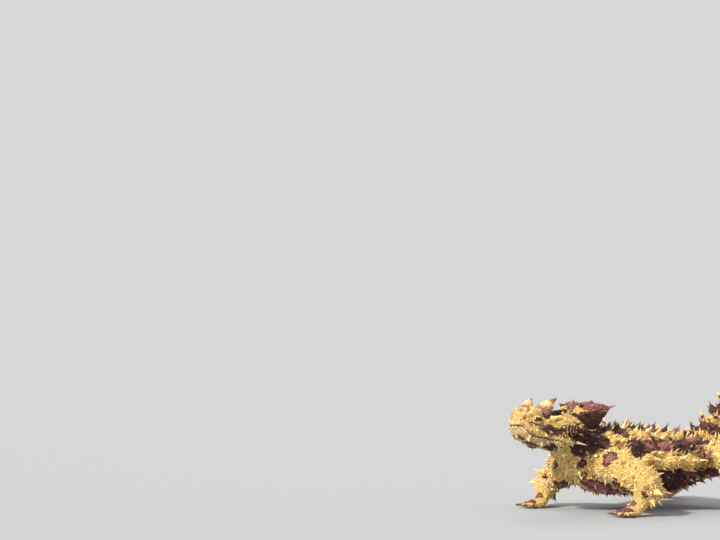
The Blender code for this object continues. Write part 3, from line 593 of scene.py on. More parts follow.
def sculptFace():
    # the line of the mouth between two lips, nostrils, ears and sockets, pressed into the hide
    points, normals = readPoints(skin.data), read(skin.data.vertex_normals, "vector")
    u, v, w = headPlaces(points)
    onHead = (u > 0.5) & (u < 21) & (np.abs(v) < 10.5) & (w < 8.5) & (w > -8)
    push = np.zeros(len(points))
    offMouth = w - mouthHeight(u)
    along = np.clip((u - face["mouthFrom"]) / 1.2, 0, 1) * onHead
    push -= along * face["grooveDeep"] * hump(offMouth, face["grooveWide"])
    push += along * face["lip"] * hump(np.abs(offMouth) - face["lipWide"], 0.4)
    for side in bothSides:
        a, b, c = face["nostril"]
        far = np.sqrt((u - a) ** 2 + (v - side * b) ** 2 + (w - c) ** 2)
        push -= onHead * face["nostrilDeep"] * hump(far, face["nostrilWide"], 4)
        rim, rimFar, rimWide = face["nostrilRim"]
        push += onHead * rim * hump(far - rimFar, rimWide)
        nearEar = onHead & (v * side > face["ear"][1] - 4)
        push -= nearEar * face["earDeep"] * hump(earDistance(u, w), 1, 4)
        forward, forwardWide, rise, riseWide = face["ridgeAt"]
        offRidge = np.abs(w - (rise + (u - 14.0) * face["ridgeFall"]))
        push += onHead * (v * side > 0) * face["ridge"] * hump(offRidge, riseWide) * hump(u - forward, forwardWide)
        hollow = sum(((far - at) / wide) ** 2 for far, (at, wide) in zip((u, v * side, w), face["hollowAt"]))
        push -= onHead * face["hollow"] * np.exp(-hollow)
    # low folds on throat, neck and belly
    folds = np.sin(points[:, 1] * 2.3 + np.sin(points[:, 0] * 0.5) * 1.2) * face["folds"]
    push += folds * (places(points)[:, 0] == 0) * (normals[:, 2] < -0.2)
    points += normals * push[:, None]
    for side in bothSides:
        middle, out = [np.array(value) for value in eyeFrame(side)[:2]]
        local = points - middle
        depth = local @ out
        wide = np.linalg.norm(local - depth[:, None] * out, axis=1)
        share = np.clip(1 - (wide / face["socketWide"]) ** 2, 0, 1) * (depth > -2.2)
        points -= out * (share * face["socketDeep"])[:, None]
    points[:, 2] = np.maximum(points[:, 2], face["lowest"])
    skin.data.vertices.foreach_set("co", toRow(points).ravel())
    skin.data.update()


sculptFace()
print("face sculpted")

# Blotches and painted shade: place along the trunk in mm, height in degrees (90 is the back's ridge), the two half
# sizes, how pink and how dark inside
blotchesAndShade = {
    "trunk": [
        # neck, nape and shoulder; the dark rows on the neck and nape, behind and below the knob, are partly dark
        # blotches and partly painted shade
        (0.8, 14, 4.6, 34, 0.2, 1.0), (-4.0, -14, 4.6, 26, 0.3, 1.0), (6.0, 12, 2.2, 7, 0.85, 0.15),
        (9.0, 86, 8.8, 39, 0.25, 1.0), (18.0, 88, 6.4, 22, 0.25, 1.0), (13.2, 14, 2.0, 25, 0.2, 1.0),
        (1.6, -44, 0.9, 9, 0.3, 0.9), (6.8, -20, 2.2, 8, 0.85, 0.1),
        # along the side, above the row of the longest spines and below it
        (17.2, 25, 3.5, 13, 1.0, 0.0), (21.3, 34, 1.0, 14, 0.2, 1.0), (25.2, 25, 3.7, 13, 1.0, 0.0),
        (29.6, 31, 1.3, 14, 0.3, 0.95), (33.0, 29, 2.8, 12, 1.0, 0.0), (36.6, 34, 2.3, 13, 0.3, 0.9),
        (41.4, 28, 3.0, 11, 1.0, 0.05), (48.2, 31, 5.2, 19, 0.25, 0.95), (52.8, 8, 2.8, 13, 0.3, 0.85),
        # the big dark rows at (27.0, -29) and (27.5, -50) darken the lower flank and the belly's side: partly a
        # dark blotch, partly painted shade
        (27.0, -29, 13.0, 17, 0.25, 1.0), (34.8, -25, 4.4, 9, 0.95, 0.05), (22.4, -30, 3.0, 7, 0.85, 0.1),
        (43.6, -20, 3.6, 9, 0.4, 0.8), (27.5, -50, 8.0, 12, 0.35, 0.9), (38.0, -44, 3.4, 8, 0.9, 0.2),
        # back
        (24.8, 66, 4.0, 10, 0.9, 0.15), (39.0, 70, 5.4, 13, 0.9, 0.15), (31.8, 63, 2.0, 6, 0.3, 0.9),
        (53.0, 60, 4.2, 22, 0.5, 0.5),
        # belly
        (9.4, -68, 6.6, 16, 1.0, 0.0), (23.0, -66, 5.2, 10, 0.6, 0.3), (36.0, -62, 5.0, 12, 0.6, 0.3),
        (47.0, -48, 4.4, 16, 0.6, 0.3), (15.0, -86, 2.6, 6, 0.5, 0.3), (29.5, -85, 2.8, 6, 0.5, 0.3),
        (44.0, -84, 2.6, 7, 0.5, 0.3),
        # tail
        (65.5, 60, 3.0, 46, 0.4, 0.6), (71.2, 12, 1.9, 15, 0.9, 0.1), (77.0, 58, 3.6, 54, 0.3, 0.8),
        (82.4, 76, 1.7, 12, 0.9, 0.1), (84.6, 8, 2.2, 20, 0.4, 0.7), (89.2, 66, 3.0, 44, 0.4, 0.7),
        (94.2, 24, 1.8, 16, 0.9, 0.15), (101.0, 46, 4.0, 78, 0.35, 0.75), (106.6, 80, 1.6, 16, 0.8, 0.2),
        (112.4, 40, 2.4, 110, 0.4, 0.65), (121.5, 50, 3.2, 140, 0.35, 0.75),
        (71.0, -70, 2.4, 18, 0.5, 0.3), (82.5, -70, 2.4, 20, 0.5, 0.3), (93.0, -60, 2.2, 18, 0.5, 0.3)],
    # along the head and the legs by station
    "head": [
        # the dark rows at (2.7, 56) and (1.3, 68) between horn and knob and at (3.45, 35) below the horn are
        # partly dark markings, partly painted shade
        (2.75, -3, 1.35, 11, 0.35, 0.95), (1.2, 4, 1.1, 11, 0.3, 1.0), (0.2, 10, 0.6, 36, 0.3, 1.0),
        (2.95, -6, 0.4, 5, 0.95, 0.1), (2.7, 56, 0.75, 19, 0.3, 1.0), (1.3, 68, 1.0, 12, 0.3, 1.0),
        (3.45, 35, 0.42, 6, 0.4, 0.8), (3.95, 56, 0.5, 12, 0.95, 0.05), (1.7, -49, 0.9, 8, 0.3, 0.95),
        (2.2, -66, 0.6, 10, 0.4, 0.9), (3.5, -78, 0.8, 9, 0.4, 0.6), (5.2, -74, 0.6, 8, 0.4, 0.5),
        (1.0, -74, 0.6, 12, 0.4, 0.8), (5.6, 3, 0.3, 7, 1.0, 0.0), (4.5, -40, 0.3, 4.5, 0.7, 0.3),
        (6.1, 64, 0.36, 12, 0.9, 0.1), (3.1, 86, 0.4, 9, 0.8, 0.3), (4.9, 84, 0.3, 9, 0.7, 0.4)],
    # on each leg the row at -80 darkens the underside: partly its own colour, partly painted shade
    "foreUpper": [(0.45, 40, 0.24, 28, 0.95, 0.05), (1.35, 150, 0.2, 20, 0.7, 0.3),
                  (1.1, -80, 0.5, 44, 0.5, 0.3)],
    "foreLower": [(1.0, 170, 0.22, 26, 0.7, 0.3), (1.5, 40, 0.14, 22, 0.7, 0.3), (0.9, -80, 0.5, 42, 0.5, 0.35)],
    "hindUpper": [(0.4, 66, 0.34, 42, 0.3, 0.95), (0.72, 142, 0.24, 24, 0.4, 0.85),
                  (1.3, 96, 0.22, 34, 0.4, 0.9), (1.16, 12, 0.2, 22, 0.9, 0.1), (1.8, 44, 0.14, 26, 0.6, 0.4),
                  (1.1, -80, 0.5, 40, 0.5, 0.3)],
    "hindLower": [(0.42, 100, 0.17, 34, 0.9, 0.1), (0.95, 40, 0.2, 30, 0.4, 0.8),
                  (1.05, 140, 0.18, 26, 0.8, 0.2), (1.6, 90, 0.16, 44, 0.5, 0.7), (0.9, -80, 0.4, 40, 0.5, 0.35)],
    "Palm": [(0.7, 80, 0.25, 30, 0.7, 0.3), (1.9, 80, 0.3, 70, 0.6, 0.5)],
    "edgeNoise": 0.3, "noiseSize": 0.3, "fineNoise": 0.9, "fineShare": 0.22, "tailStep": 9.0,
}


def blotchField(along, rise, rows, warpAlong, warpRise):
    # below 0 is inside a blotch; with it, how pink and how dark that blotch is
    best = np.full(len(along), 9.0)
    pink, dark = np.zeros(len(along)), np.zeros(len(along))
    for a, b, ra, rb, isPink, isDark in rows:
        far = np.sqrt(((along - a) / ra + warpAlong) ** 2 + ((rise - b) / rb + warpRise) ** 2) - 1
        far = far * min(1.0, ra / 4 if ra > 1 else 1.0)
        closer = far < best
        best = np.where(closer, far, best)
        pink, dark = np.where(closer, isPink, pink), np.where(closer, isDark, dark)
    return best, pink, dark


def markings(points, where):
    # colours by formula: columns are blotch field, pinkness, darkness, paleness
    part, t, angle = where[:, 0].astype(int), where[:, 1], where[:, 2]
    signed = (angle + 180) % 360 - 180
    rise = np.where(np.abs(signed) > 90, np.sign(signed) * 180 - signed, signed)
    even = points.copy()  # trunk and head are marked alike on both sides
    even[:, 0] = np.where(part < 2, np.abs(points[:, 0]), points[:, 0])
    size, aside = blotchesAndShade["noiseSize"], Vector((31, 7, 3))
    warp = np.array([(noise.noise(Vector(p) * size), noise.noise(Vector(p) * size + aside),
                      noise.noise(Vector(p) * blotchesAndShade["fineNoise"])) for p in even])
    result = np.zeros((len(points), 4))
    result[:, 0] = 1.0
    stations = np.array(trunk["stations"])
    onTail = stations[-1, 1] + (t - trunk["end"]) * blotchesAndShade["tailStep"]
    place = np.where(t <= trunk["end"], np.interp(t, range(len(stations)), stations[:, 1]), onTail)
    for number in range(knobPart + 1):
        here = part == number
        if not here.any():
            continue
        name = partNames[number] if number < knobPart else "knob"
        wa, wb = [warp[here, k] * blotchesAndShade["edgeNoise"] * 2 for k in (0, 1)]
        if name == "trunk":
            field, pink, dark = blotchField(place[here], rise[here], blotchesAndShade["trunk"], wa, wb)
            ridge = (rise[here] > 86.5) & (place[here] < 60)  # a pale line along the back
            field = np.where(ridge, 0.6, field)
            pale = np.clip((-rise[here] - 58) / 16, 0, 1) * np.clip((place[here] - 5) / 8, 0.1, 1)
        elif name == "head":
            field, pink, dark = blotchField(t[here], rise[here], blotchesAndShade["head"], wa * 0.8, wb * 0.8)
            pale = np.clip((-rise[here] - 20) / 26, 0, 1) * 0.6
        elif name == "knob":
            # yellow only high on the front, dark all round below: partly the knob's own dark colour, partly
            # painted shade of its underside
            p = points[here]
            behind = np.clip((p[:, 1] + 1.8) / 1.6 + warp[here, 2] * 1.2, -1, 1)
            below = np.clip((33.2 - p[:, 2]) / 1.2 + warp[here, 2], -1, 1)
            field, pink = -np.maximum(behind, below), np.full(len(p), 0.8)
            dark = np.clip((34.8 - p[:, 2]) / 1.2 + warp[here, 0], 0, 1) * 0.97
            pale = np.zeros(len(p))
        else:
            segment = segmentOf(name)
            spin = np.where(signed[here] < -90, signed[here] + 360, signed[here])
            rows = blotchesAndShade[segment if segment == "Palm" else name[:4] + segment]
            field, pink, dark = blotchField(t[here], spin, rows, wa, wb)
            pale = np.clip((np.abs(spin - 90) - 110) * 0.015, 0, 0.7)
        result[here, 0] = field + warp[here, 2] * blotchesAndShade["fineShare"]
        result[here, 1], result[here, 2], result[here, 3] = pink, dark, pale
    # mouth, nostrils and ears are painted dark: painted shade in the groove of the mouth and in the openings
    u, v, w = headPlaces(points)
    dark = (part == 1) & (np.abs(w - mouthHeight(u)) < 0.24) & (u > face["mouthFrom"])
    for (a, b, c), r, across in ((face["nostril"], 0.62, 1), (face["ear"], 1.15, 0.25)):
        far = np.sqrt((u - a) ** 2 + (np.abs(v) - b) ** 2 * across + (w - c) ** 2)
        dark |= (part == 1) & (far < r)
    result[dark, 0], result[dark, 2] = -1.0, 1.0
    return result


def colourLayer(mesh, name, values):
    layer = mesh.color_attributes.new(name, "FLOAT_COLOR", "POINT")
    layer.data.foreach_set("color", values.astype(np.float32).ravel())


def shareLayer(mesh, name, values):
    colourLayer(mesh, name, np.repeat(np.array(values)[:, None], 4, axis=1))


def paint(mesh, marks, tip, chance):
    # two colour layers: blotch field, tip and chance, then pinkness, darkness and paleness;
    # a tip of 0 lies in the crease, which gets painted shade, 0.3 is the body of a scale and 1 its point
    whole = np.ones(len(marks))
    first = np.stack([np.clip(0.5 + marks[:, 0] * 0.5, 0, 1), tip * whole, chance * whole, whole], 1)
    colourLayer(mesh, "marks", first)
    colourLayer(mesh, "tones", np.stack([marks[:, 1], marks[:, 2], marks[:, 3], whole], 1))


scaleBody = 0.3
skinPoints = readPoints(skin.data)
skinWhere = places(skinPoints)
paint(skin.data, markings(skinPoints, skinWhere), scaleBody, 0.5)
print("hide painted")


class Value:
    # one number of a shader, so that its maths reads as plain expressions
    def __init__(self, finish, socket):
        self.finish, self.socket = finish, socket

    def math(self, operation, first, second):
        return self.finish.add("ShaderNodeMath", {"operation": operation}, {0: first, 1: second})

    def __add__(self, other):
        return self.math("ADD", self, other)

    def __sub__(self, other):
        return self.math("SUBTRACT", self, other)

    def __rsub__(self, other):
        return self.math("SUBTRACT", other, self)

    def __mul__(self, other):
        return self.math("MULTIPLY", self, other)

    __radd__, __rmul__ = __add__, __mul__


class Finish:
    # a material with one principled shader, and short ways to add nodes to it
    def __init__(self, name):
        self.material = bpy.data.materials.new(name)
        self.material.use_nodes = True
        self.tree = self.material.node_tree
        self.surface = self.tree.nodes["Principled BSDF"]

    def add(self, kind, settings, sockets, out=0):
        node = self.tree.nodes.new(kind)
        for key, value in settings.items():
            if key == "stops":
                ramp = node.color_ramp
                while len(ramp.elements) < len(value):
                    ramp.elements.new(0.5)
                for element, (at, colour) in zip(ramp.elements, value):
                    element.position, element.color = at, (*colour, 1)
            else:
                setattr(node, key, value)
        self.fill(node, sockets)
        return Value(self, node.outputs[out])

    def fill(self, node, sockets):
        for key, value in sockets.items():
            place = node.inputs[key]
            if isinstance(value, Value):
                self.tree.links.new(value.socket, place)
            elif isinstance(value, tuple) and len(place.default_value) == 4:
                place.default_value = (*value, 1)
            else:
                place.default_value = value

    def dress(self, **sockets):
        # the shader's own sockets, such as baseColor for Base Color
        names = {"baseColor": "Base Color", "roughness": "Roughness", "normal": "Normal", "coat": "Coat Weight",
                 "coatRoughness": "Coat Roughness", "specular": "Specular IOR Level"}
        self.fill(self.surface, {names[key]: value for key, value in sockets.items()})
        return self.material

    def mix(self, factor, a, b):
        return self.add("ShaderNodeMix", {"data_type": "RGBA", "clamp_factor": True},
                        {0: factor, 6: a, 7: b}, out=2)

    def spread(self, value, low, high):
        return self.add("ShaderNodeMapRange", {"interpolation_type": "SMOOTHSTEP"},
                        {"Value": value, "From Min": low, "From Max": high})

    def grain(self, size, detail=3.0):
        # size is that of one grain in mm
        place = self.add("ShaderNodeTexCoord", {}, {}, out=3)
        return self.add("ShaderNodeTexNoise", {}, {"Vector": place, "Scale": 1.0 / (size * mm), "Detail": detail,
                                                   "Roughness": 0.55})

    def bump(self, height, depth, strength):
        return self.add("ShaderNodeBump", {}, {"Strength": strength, "Distance": depth * mm, "Height": height})

    def layer(self, name):
        colour = self.add("ShaderNodeAttribute", {"attribute_name": name}, {})
        parts = self.add("ShaderNodeSeparateColor", {}, {0: colour})
        return [Value(self, socket) for socket in parts.socket.node.outputs]


look = {
    "ochre": (0.80, 0.50, 0.15), "straw": (0.92, 0.68, 0.23), "cream": (0.94, 0.75, 0.37),
    "rust": (0.22, 0.062, 0.055), "rose": (0.42, 0.17, 0.155), "maroon": (0.034, 0.010, 0.016),
    # creaseShade is painted shade for the creases between the scales
    "tip": (0.97, 0.81, 0.45), "belly": (0.84, 0.64, 0.39), "creaseShade": (0.14, 0.055, 0.028),
    "fineSize": 0.35, "broadSize": 2.6, "bumpDepth": 0.12, "specular": 0.35, "rim": 0.92,
    # between the scales the edges of the blotches blur more, and all is darker with painted shade
    "blur": 0.12, "blurBetween": 0.34, "shade": 0.55,
}


def hideFinish(name, between):
    # between is for the hide that shows between the grains, which lies in their shade: its colour is darkened with
    # painted shade
    finish = Finish(name)
    field, tip, chance = finish.layer("marks")
    pink, dark, pale = finish.layer("tones")
    fine, broad = finish.grain(look["fineSize"]), finish.grain(look["broadSize"], 2.0)
    edge = field * 2.0 - 1.0 + (fine - 0.5) * look["blurBetween" if between else "blur"]
    ground = finish.mix(finish.spread(broad + (chance - 0.5) * 0.7, 0.3, 0.7), look["ochre"], look["straw"])
    ground = finish.mix(pale, ground, look["belly"])
    ground = finish.mix(finish.spread(chance, 0.72, 1.0) * 0.45, ground, look["cream"])
    if not between:
        ground = finish.mix(finish.spread(chance, 0.075, 0.045) * 0.6, ground, look["rust"])
    inside = finish.mix(pink, look["rust"], look["rose"])
    inside = finish.mix(finish.spread(chance, 0.1, 0.9) * 0.35, inside, look["rose"])
    inside = finish.mix(dark, inside, look["maroon"])
    within = finish.spread(edge, 0.05, -0.05)
    rim = finish.spread(edge, 0.13, 0.02) * finish.spread(edge, -0.42, -0.12)
    colour = finish.mix(rim * look["rim"], finish.mix(within, ground, inside), look["maroon"])
    if between:
        # painted shade: all the hide between the grains is darkened
        colour = finish.mix(look["shade"], colour, look["creaseShade"])
        rough = finish.spread(fine, 0.2, 0.9) * 0.2 + 0.62
    else:
        # painted shade: the foot of each grain and spine, down in the crease, is darkened
        colour = finish.mix(finish.spread(tip, scaleBody, 0.02) * 0.45, colour, look["creaseShade"])
        colour = finish.mix(finish.spread(tip, 0.42, 1.0) * (0.75 - within * 0.5), colour, look["tip"])
        rough = 0.76 - tip * 0.24 + (fine - 0.5) * 0.2
    return finish.dress(baseColor=colour, roughness=rough, specular=look["specular"],
                        normal=finish.bump(fine + broad * 0.4, look["bumpDepth"], 0.5))


hideScales = hideFinish("hideScales", False)
skin.data.materials.append(hideFinish("hideBetweenScales", True))
skin.data.shade_smooth()


def chart(where):
    # a place on the unwrap of the hide: trunk and tail, then the head, then the four legs side by side
    part, t, angle = where[:, 0].astype(int), where[:, 1], where[:, 2] / 360.0
    across, up = 0.02 + 0.45 * t / trunkForm.last, 0.02 + 0.95 * angle
    isHead = part == 1
    across = np.where(isHead, 0.49 + 0.14 * t / headForm.last, across)
    up = np.where(isHead, 0.3 + 0.67 * angle, up)
    leg, segment = (part - 2) // 3, (part - 2) % 3
    isLeg = (part >= 2) & (part < knobPart)
    across = np.where(isLeg, 0.65 + 0.085 * leg + 0.07 * angle, across)
    up = np.where(isLeg, 0.02 + 0.32 * segment + 0.3 * t / 2.0, up)
    return across, up


Form = namedtuple("Form", "triangles tips patch")


def manySolids(name, points, form, marks, where, chance):
    # one mesh of many small solids of the same form, its points given solid by solid
    count, each = points.shape[:2]
    mesh = bpy.data.meshes.new(name)
    flat = toRow(points.reshape(-1, 3))
    corners = (form.triangles[None, :, :] + (np.arange(count) * each)[:, None, None]).reshape(-1)
    faceCount = len(corners) // 3
    mesh.vertices.add(len(flat))
    mesh.vertices.foreach_set("co", flat.ravel())
    mesh.loops.add(len(corners))
    mesh.loops.foreach_set("vertex_index", corners.astype(np.int32))
    mesh.polygons.add(faceCount)
    mesh.polygons.foreach_set("loop_start", np.arange(0, len(corners), 3, dtype=np.int32))
    mesh.polygons.foreach_set("use_smooth", np.ones(faceCount, dtype=bool))
    mesh.update(calc_edges=True)
    mesh.validate()
    paint(mesh, np.repeat(marks, each, axis=0), np.tile(form.tips, count), np.repeat(chance, each))
    uv = np.stack(chart(where), 1)[:, None, :] + form.patch[None, :, :] * coat["patch"]
    layer = mesh.uv_layers.new(name="OFBake")
    layer.data.foreach_set("uv", uv.reshape(-1, 2)[corners].astype(np.float32).ravel())
    mesh.materials.append(hideScales)
    return linked(name, mesh)


def pointedTriangles(count, rings):
    # rings of points, closed by a point above the last ring and one below the first
    triangles = []
    for a, b, c, d in ringFaces(0, rings, count):
        triangles += [(a, b, c), (a, c, d)]
    last = (rings - 1) * count
    for j in range(count):
        k = (j + 1) % count
        triangles += [(last + j, last + k, rings * count), (k, j, rings * count + 1)]
    return np.array(triangles)


coat = {
    # spacing of the grains in mm on each part, their height as a share of width, how far they lean back
    "spacing": {"head": 0.47, "knob": 0.60, "trunk": 0.66, "tail": 0.60,
                "Upper": 0.60, "Lower": 0.56, "Palm": 0.46},
    "height": (0.3, 0.8), "width": (0.52, 0.72), "uneven": 0.22, "lean": 0.5, "tries": 15.0, "patch": 0.0015,
    # spacing of the small spines, also on the face, and how far they keep off the face's parts
    "smallSpineSpacing": 2.6, "faceSpineSpacing": 1.9,
    "clear": {"mouth": 0.7, "eye": 3.2, "nostril": 1.4, "ear": 2.4},
    # bigger studs: their spacing and width as a share of the grains' spacing
    "studSpacing": 2.7, "studWidth": (0.78, 1.08),
    # one grain: width, height, lean and tip value of its rings, then lean, height and tip value of its point
    "sides": 6, "rings": [(1.0, -0.5, 0.0, 0.0), (0.84, 0.22, 0.06, 0.16), (0.36, 0.66, 0.24, 0.36)],
    "point": (0.28, 1.0, 0.6),
    # grains stay off eyes, mouth, nostrils and the floor by so much, and stand closer round the eye
    "offEye": 1.75, "offMouth": 0.26, "offNostril": 0.62, "offFloor": 0.35, "roundEye": (4.0, 0.38),
}


def grainTemplate():
    points, patch, tips = [], [], []
    for width, height, lean, tip in coat["rings"]:
        for c, s in circle(coat["sides"]):
            points.append((width * c, width * s + lean, height))
            patch.append((0.8 * width * c, 0.8 * width * s))
            tips.append(tip)
    lean, height, tip = coat["point"]
    points += [(0, lean, height), (0, 0, coat["rings"][0][1])]
    patch += [(0, 0), (0.1, 0.1)]
    triangles = pointedTriangles(coat["sides"], len(coat["rings"]))
    return np.array(points), Form(triangles, np.array(tips + [tip, 0.0]), np.array(patch))


grainPoints, grainForm = grainTemplate()
coatPieces = []


def scatter(name, roots, axes, sizes, marks, where, chance):
    # grains set on their roots; axes are side, lie and outward of each
    bodies = grainPoints[None, :, :] * sizes[:, None, :]
    corner = np.arange(len(grainPoints)) % coat["sides"]  # each corner has its own reach
    reach = 1 + grains.uniform(-coat["uneven"], coat["uneven"], (len(roots), coat["sides"]))
    bodies[:, :, :2] *= reach[:, corner][:, :, None]
    points = roots[:, None, :] + np.einsum("nvk,nkj->nvj", bodies, axes)
    coatPieces.append(manySolids(name, points, grainForm, marks, where, chance))


def spacingOf(where):
    part, wanted = where[:, 0].astype(int), coat["spacing"]
    gaps = np.full(len(part), wanted["trunk"])
    gaps[(part == 0) & (where[:, 1] > trunk["end"])] = wanted["tail"]
    gaps[part == 1] = wanted["head"]
    gaps[part == knobPart] = wanted["knob"]
    for number, name in enumerate(partNames[2:], 2):
        gaps[part == number] = wanted[segmentOf(name)]
    return gaps


def unit(rows):
    return rows / np.linalg.norm(rows, axis=1)[:, None]


def surfaceDraw(tries):
    # random places all over the hide, with their normals
    mesh = skin.data
    mesh.calc_loop_triangles()
    corners = np.empty(len(mesh.loop_triangles) * 3, dtype=np.int32)
    mesh.loop_triangles.foreach_get("vertices", corners)
    points, normals = readPoints(mesh), read(mesh.vertex_normals, "vector")
    a, b, c = [corners.reshape(-1, 3)[:, k] for k in range(3)]
    areas = np.linalg.norm(np.cross(points[b] - points[a], points[c] - points[a]), axis=1) / 2
    total = int(areas.sum() * tries)
    pick = grains.choice(len(areas), size=total, p=areas / areas.sum())
    r1, r2 = np.sqrt(grains.random(total)), grains.random(total)
    shares = np.stack([1 - r1, r1 * (1 - r2), r1 * r2], 1)
    spots = sum(points[k[pick]] * shares[:, i:i + 1] for i, k in enumerate((a, b, c)))
    ways = sum(normals[k[pick]] * shares[:, i:i + 1] for i, k in enumerate((a, b, c)))
    nearest = np.choose(shares.argmax(1), [a[pick], b[pick], c[pick]])
    return spots, unit(ways), skinWhere[nearest], areas.sum()


def thin(points, gaps, taken):
    # keeps places that are at least their own gap apart, in the order given, and clear of the balls taken
    cell = float(max(gaps.max(), 0.5))
    grid = {}
    for p, r in taken:
        reach = math.ceil(r / cell)
        x, y, z = [math.floor(value / cell) for value in p]
        for a, b, c in itertools.product(range(-reach, reach + 1), repeat=3):
            grid.setdefault((x + a, y + b, z + c), []).append((*p, r))
    around = list(itertools.product((-1, 0, 1), repeat=3))
    cells = np.floor(points / cell).astype(int).tolist()
    kept = []
    for i, (p, gap, (x, y, z)) in enumerate(zip(points.tolist(), gaps.tolist(), cells)):
        near = (q for a, b, c in around for q in grid.get((x + a, y + b, z + c), ()))
        if all((p[0] - q[0]) ** 2 + (p[1] - q[1]) ** 2 + (p[2] - q[2]) ** 2 >= (gap if q[3] < 0 else q[3]) ** 2
               for q in near):
            kept.append(i)
            grid.setdefault((x, y, z), []).append((*p, -1.0))
    return kept


def frames(outward, lie, lean):
    # side, lie and outward of each scale, leaning towards its lie
    flat = lie - outward * (lie * outward).sum(1)[:, None]
    length = np.linalg.norm(flat, axis=1)[:, None]
    flat = np.where(length > 1e-3, flat / np.maximum(length, 1e-3), np.cross(outward, [0.0, 0.0, 1.0]))
    out = unit(outward + flat * lean[:, None])
    along = unit(flat - out * (flat * out).sum(1)[:, None])
    return np.stack([np.cross(along, out), along, out], 1)


spots, outs, spotWhere, hideArea = surfaceDraw(coat["tries"])
print("hide area mm2:", round(hideArea), "places tried:", len(spots))


def distances(place):
    return np.linalg.norm(spots - np.array(place), axis=1)


def feet(rows, share):
    # balls round the feet of spines, as a share of their radius
    return [(tuple(s.root), s.radius * share) for s in rows]


def smallSpineSpots():
    # spines between the big ones: keeps off mouth, eyes, nostrils and ears, the soles and the big spines' feet
    gaps = np.full(len(spots), coat["smallSpineSpacing"])
    u, v, w = headPlaces(spots)
    isHead = spotWhere[:, 0] == 1
    gaps[isHead & (u > 8)] = coat["faceSpineSpacing"]
    palms = np.isin(spotWhere[:, 0].astype(int), [n for n, name in enumerate(partNames) if name.endswith("Palm")])
    allowed = ~(palms & (outs[:, 2] < 0.2)) & (spots[:, 2] > 1.0)
    allowed &= ~(isHead & (np.abs(w - mouthHeight(u)) < coat["clear"]["mouth"]) & (u > 3))
    for side in bothSides:
        allowed &= distances(eyeFrame(side)[0]) > coat["clear"]["eye"]
        for name in ("nostril", "ear"):
            forward, out, rise = face[name]
            allowed &= distances(inHead(forward, side * out, rise)) > coat["clear"][name]
    index = np.nonzero(allowed)[0][::6]
    return index[thin(spots[index], gaps[index], feet(spines, 1.15))]


small = smallSpineSpots()
print("small spines:", len(small))

spineForm = {
    # distance along the spine and width there, as shares of its length and radius
    "profile": [(-0.16, 1.16), (0.0, 1.04), (0.10, 0.80), (0.24, 0.60), (0.42, 0.42), (0.62, 0.27), (0.80, 0.155),
                (0.93, 0.07)],
    "sides": 10, "ridge": 0.07, "narrow": 0.7,
    # length and radius of the small spines on each part
    "small": {"head": (0.75, 0.5), "trunk": (2.0, 0.68), "belly": (1.3, 0.62), "tail": (1.6, 0.55),
              "knob": (0.9, 0.55), "legs": (1.5, 0.58), "Palm": (0.9, 0.42)},
    "smallSpread": (0.7, 1.25),
}


def spineMesh(name, rows):
    # each spine is ridged and curves to a sharp tip
    profile, count = spineForm["profile"], spineForm["sides"]
    roots, out, bend = [np.array([row[k] for row in rows], dtype=float) for k in range(3)]
    length, radius = [np.array([row[k] for row in rows]) for k in (3, 4)]
    side = unit(np.cross(out, aslant))
    other = np.cross(out, side)
    spin = grains.random(len(rows)) * math.tau
    narrow = np.where(radius > spinePlan["granularFrom"], spineForm["narrow"], 1.0)
    points, patch, tips = [], [], []
    for share, width in profile:
        middle = roots + out * (length * share)[:, None] + bend * (length * max(share, 0) ** 2)[:, None]
        for j, (c, s) in enumerate(circle(count)):
            a = spin + math.tau * j / count
            ridge = width * (1 + spineForm["ridge"] * (1 if j % 2 else -1) * (1 - max(share, 0))) * narrow
            around = side * np.cos(a)[:, None] + other * np.sin(a)[:, None]
            points.append(middle + around * (radius * ridge)[:, None])
            patch.append((0.85 * width * c, 0.85 * width * s))
            tips.append(0.1 if share < 0 else 0.24 + 0.76 * share)
    points += [roots + out * length[:, None] + bend * length[:, None], roots - out * (length * 0.14)[:, None]]
    patch += [(0, 0), (0.05, 0.05)]
    form = Form(pointedTriangles(count, len(profile)), np.array(tips + [1.0, 0.0]), np.array(patch))
    where = placesOn(roots, [row.part for row in rows])
    marks = markings(roots, where)
    marks[:, 0] = marks[:, 0] + 0.1
    coatPieces.append(manySolids(name, np.stack(points, 1), form, marks, where, grains.random(len(rows))))


def smallSpineRows():
    rows = []
    for i in small:
        part, t = int(spotWhere[i][0]), spotWhere[i][1]
        lie, out = Vector(spotWhere[i][3:6]), Vector(outs[i])
        size = drawn.uniform(*spineForm["smallSpread"])
        if part == 0:
            name = "tail" if t > trunk["end"] else "belly" if outs[i][2] < -0.35 else "trunk"
        elif part in (1, knobPart):
            name = "head" if part == 1 else "knob"
        else:
            name = "Palm" if partNames[part].endswith("Palm") else "legs"
        length, radius = [value * size for value in spineForm["small"][name]]
        direction = (out + lie * 0.3).normalized()
        if spots[i][2] + direction.z * length < 0.4:
            continue
        rows.append(Spine(Vector(spots[i]), direction, lie * 0.08, length, radius, part))
    return rows


smallRows = smallSpineRows()
tailFrom = 58  # mm along the trunk
regions = {"trunk": lambda s: s.part == 0 and s.root.y < tailFrom,
           "tail": lambda s: s.part == 0 and s.root.y >= tailFrom,
           "head": lambda s: s.part in (1, knobPart), "legs": lambda s: 2 <= s.part < knobPart}
for region, chosen in regions.items():
    rows = [spine for spine in spines + smallRows if chosen(spine)]
    spineMesh(region + "Spines", rows)
    print(region, "spines:", len(rows), "faces:", len(coatPieces[-1].data.polygons))

skinTree = BVHTree.FromPolygons([Vector(p) for p in readPoints(skin.data)],
                                [tuple(f.vertices) for f in skin.data.polygons])
rosette = {
    # how far out each ring of grains stands, as a share of the spine's radius, and the grains' sizes
    "reaches": (1.12, 0.93, 0.75, 0.58), "smallReaches": (1.06, 0.8), "gap": 0.6, "size": (0.26, 0.38),
    "smallSize": 0.85, "leastCount": 6, "jitter": 0.1, "farthest": 5.0,
}


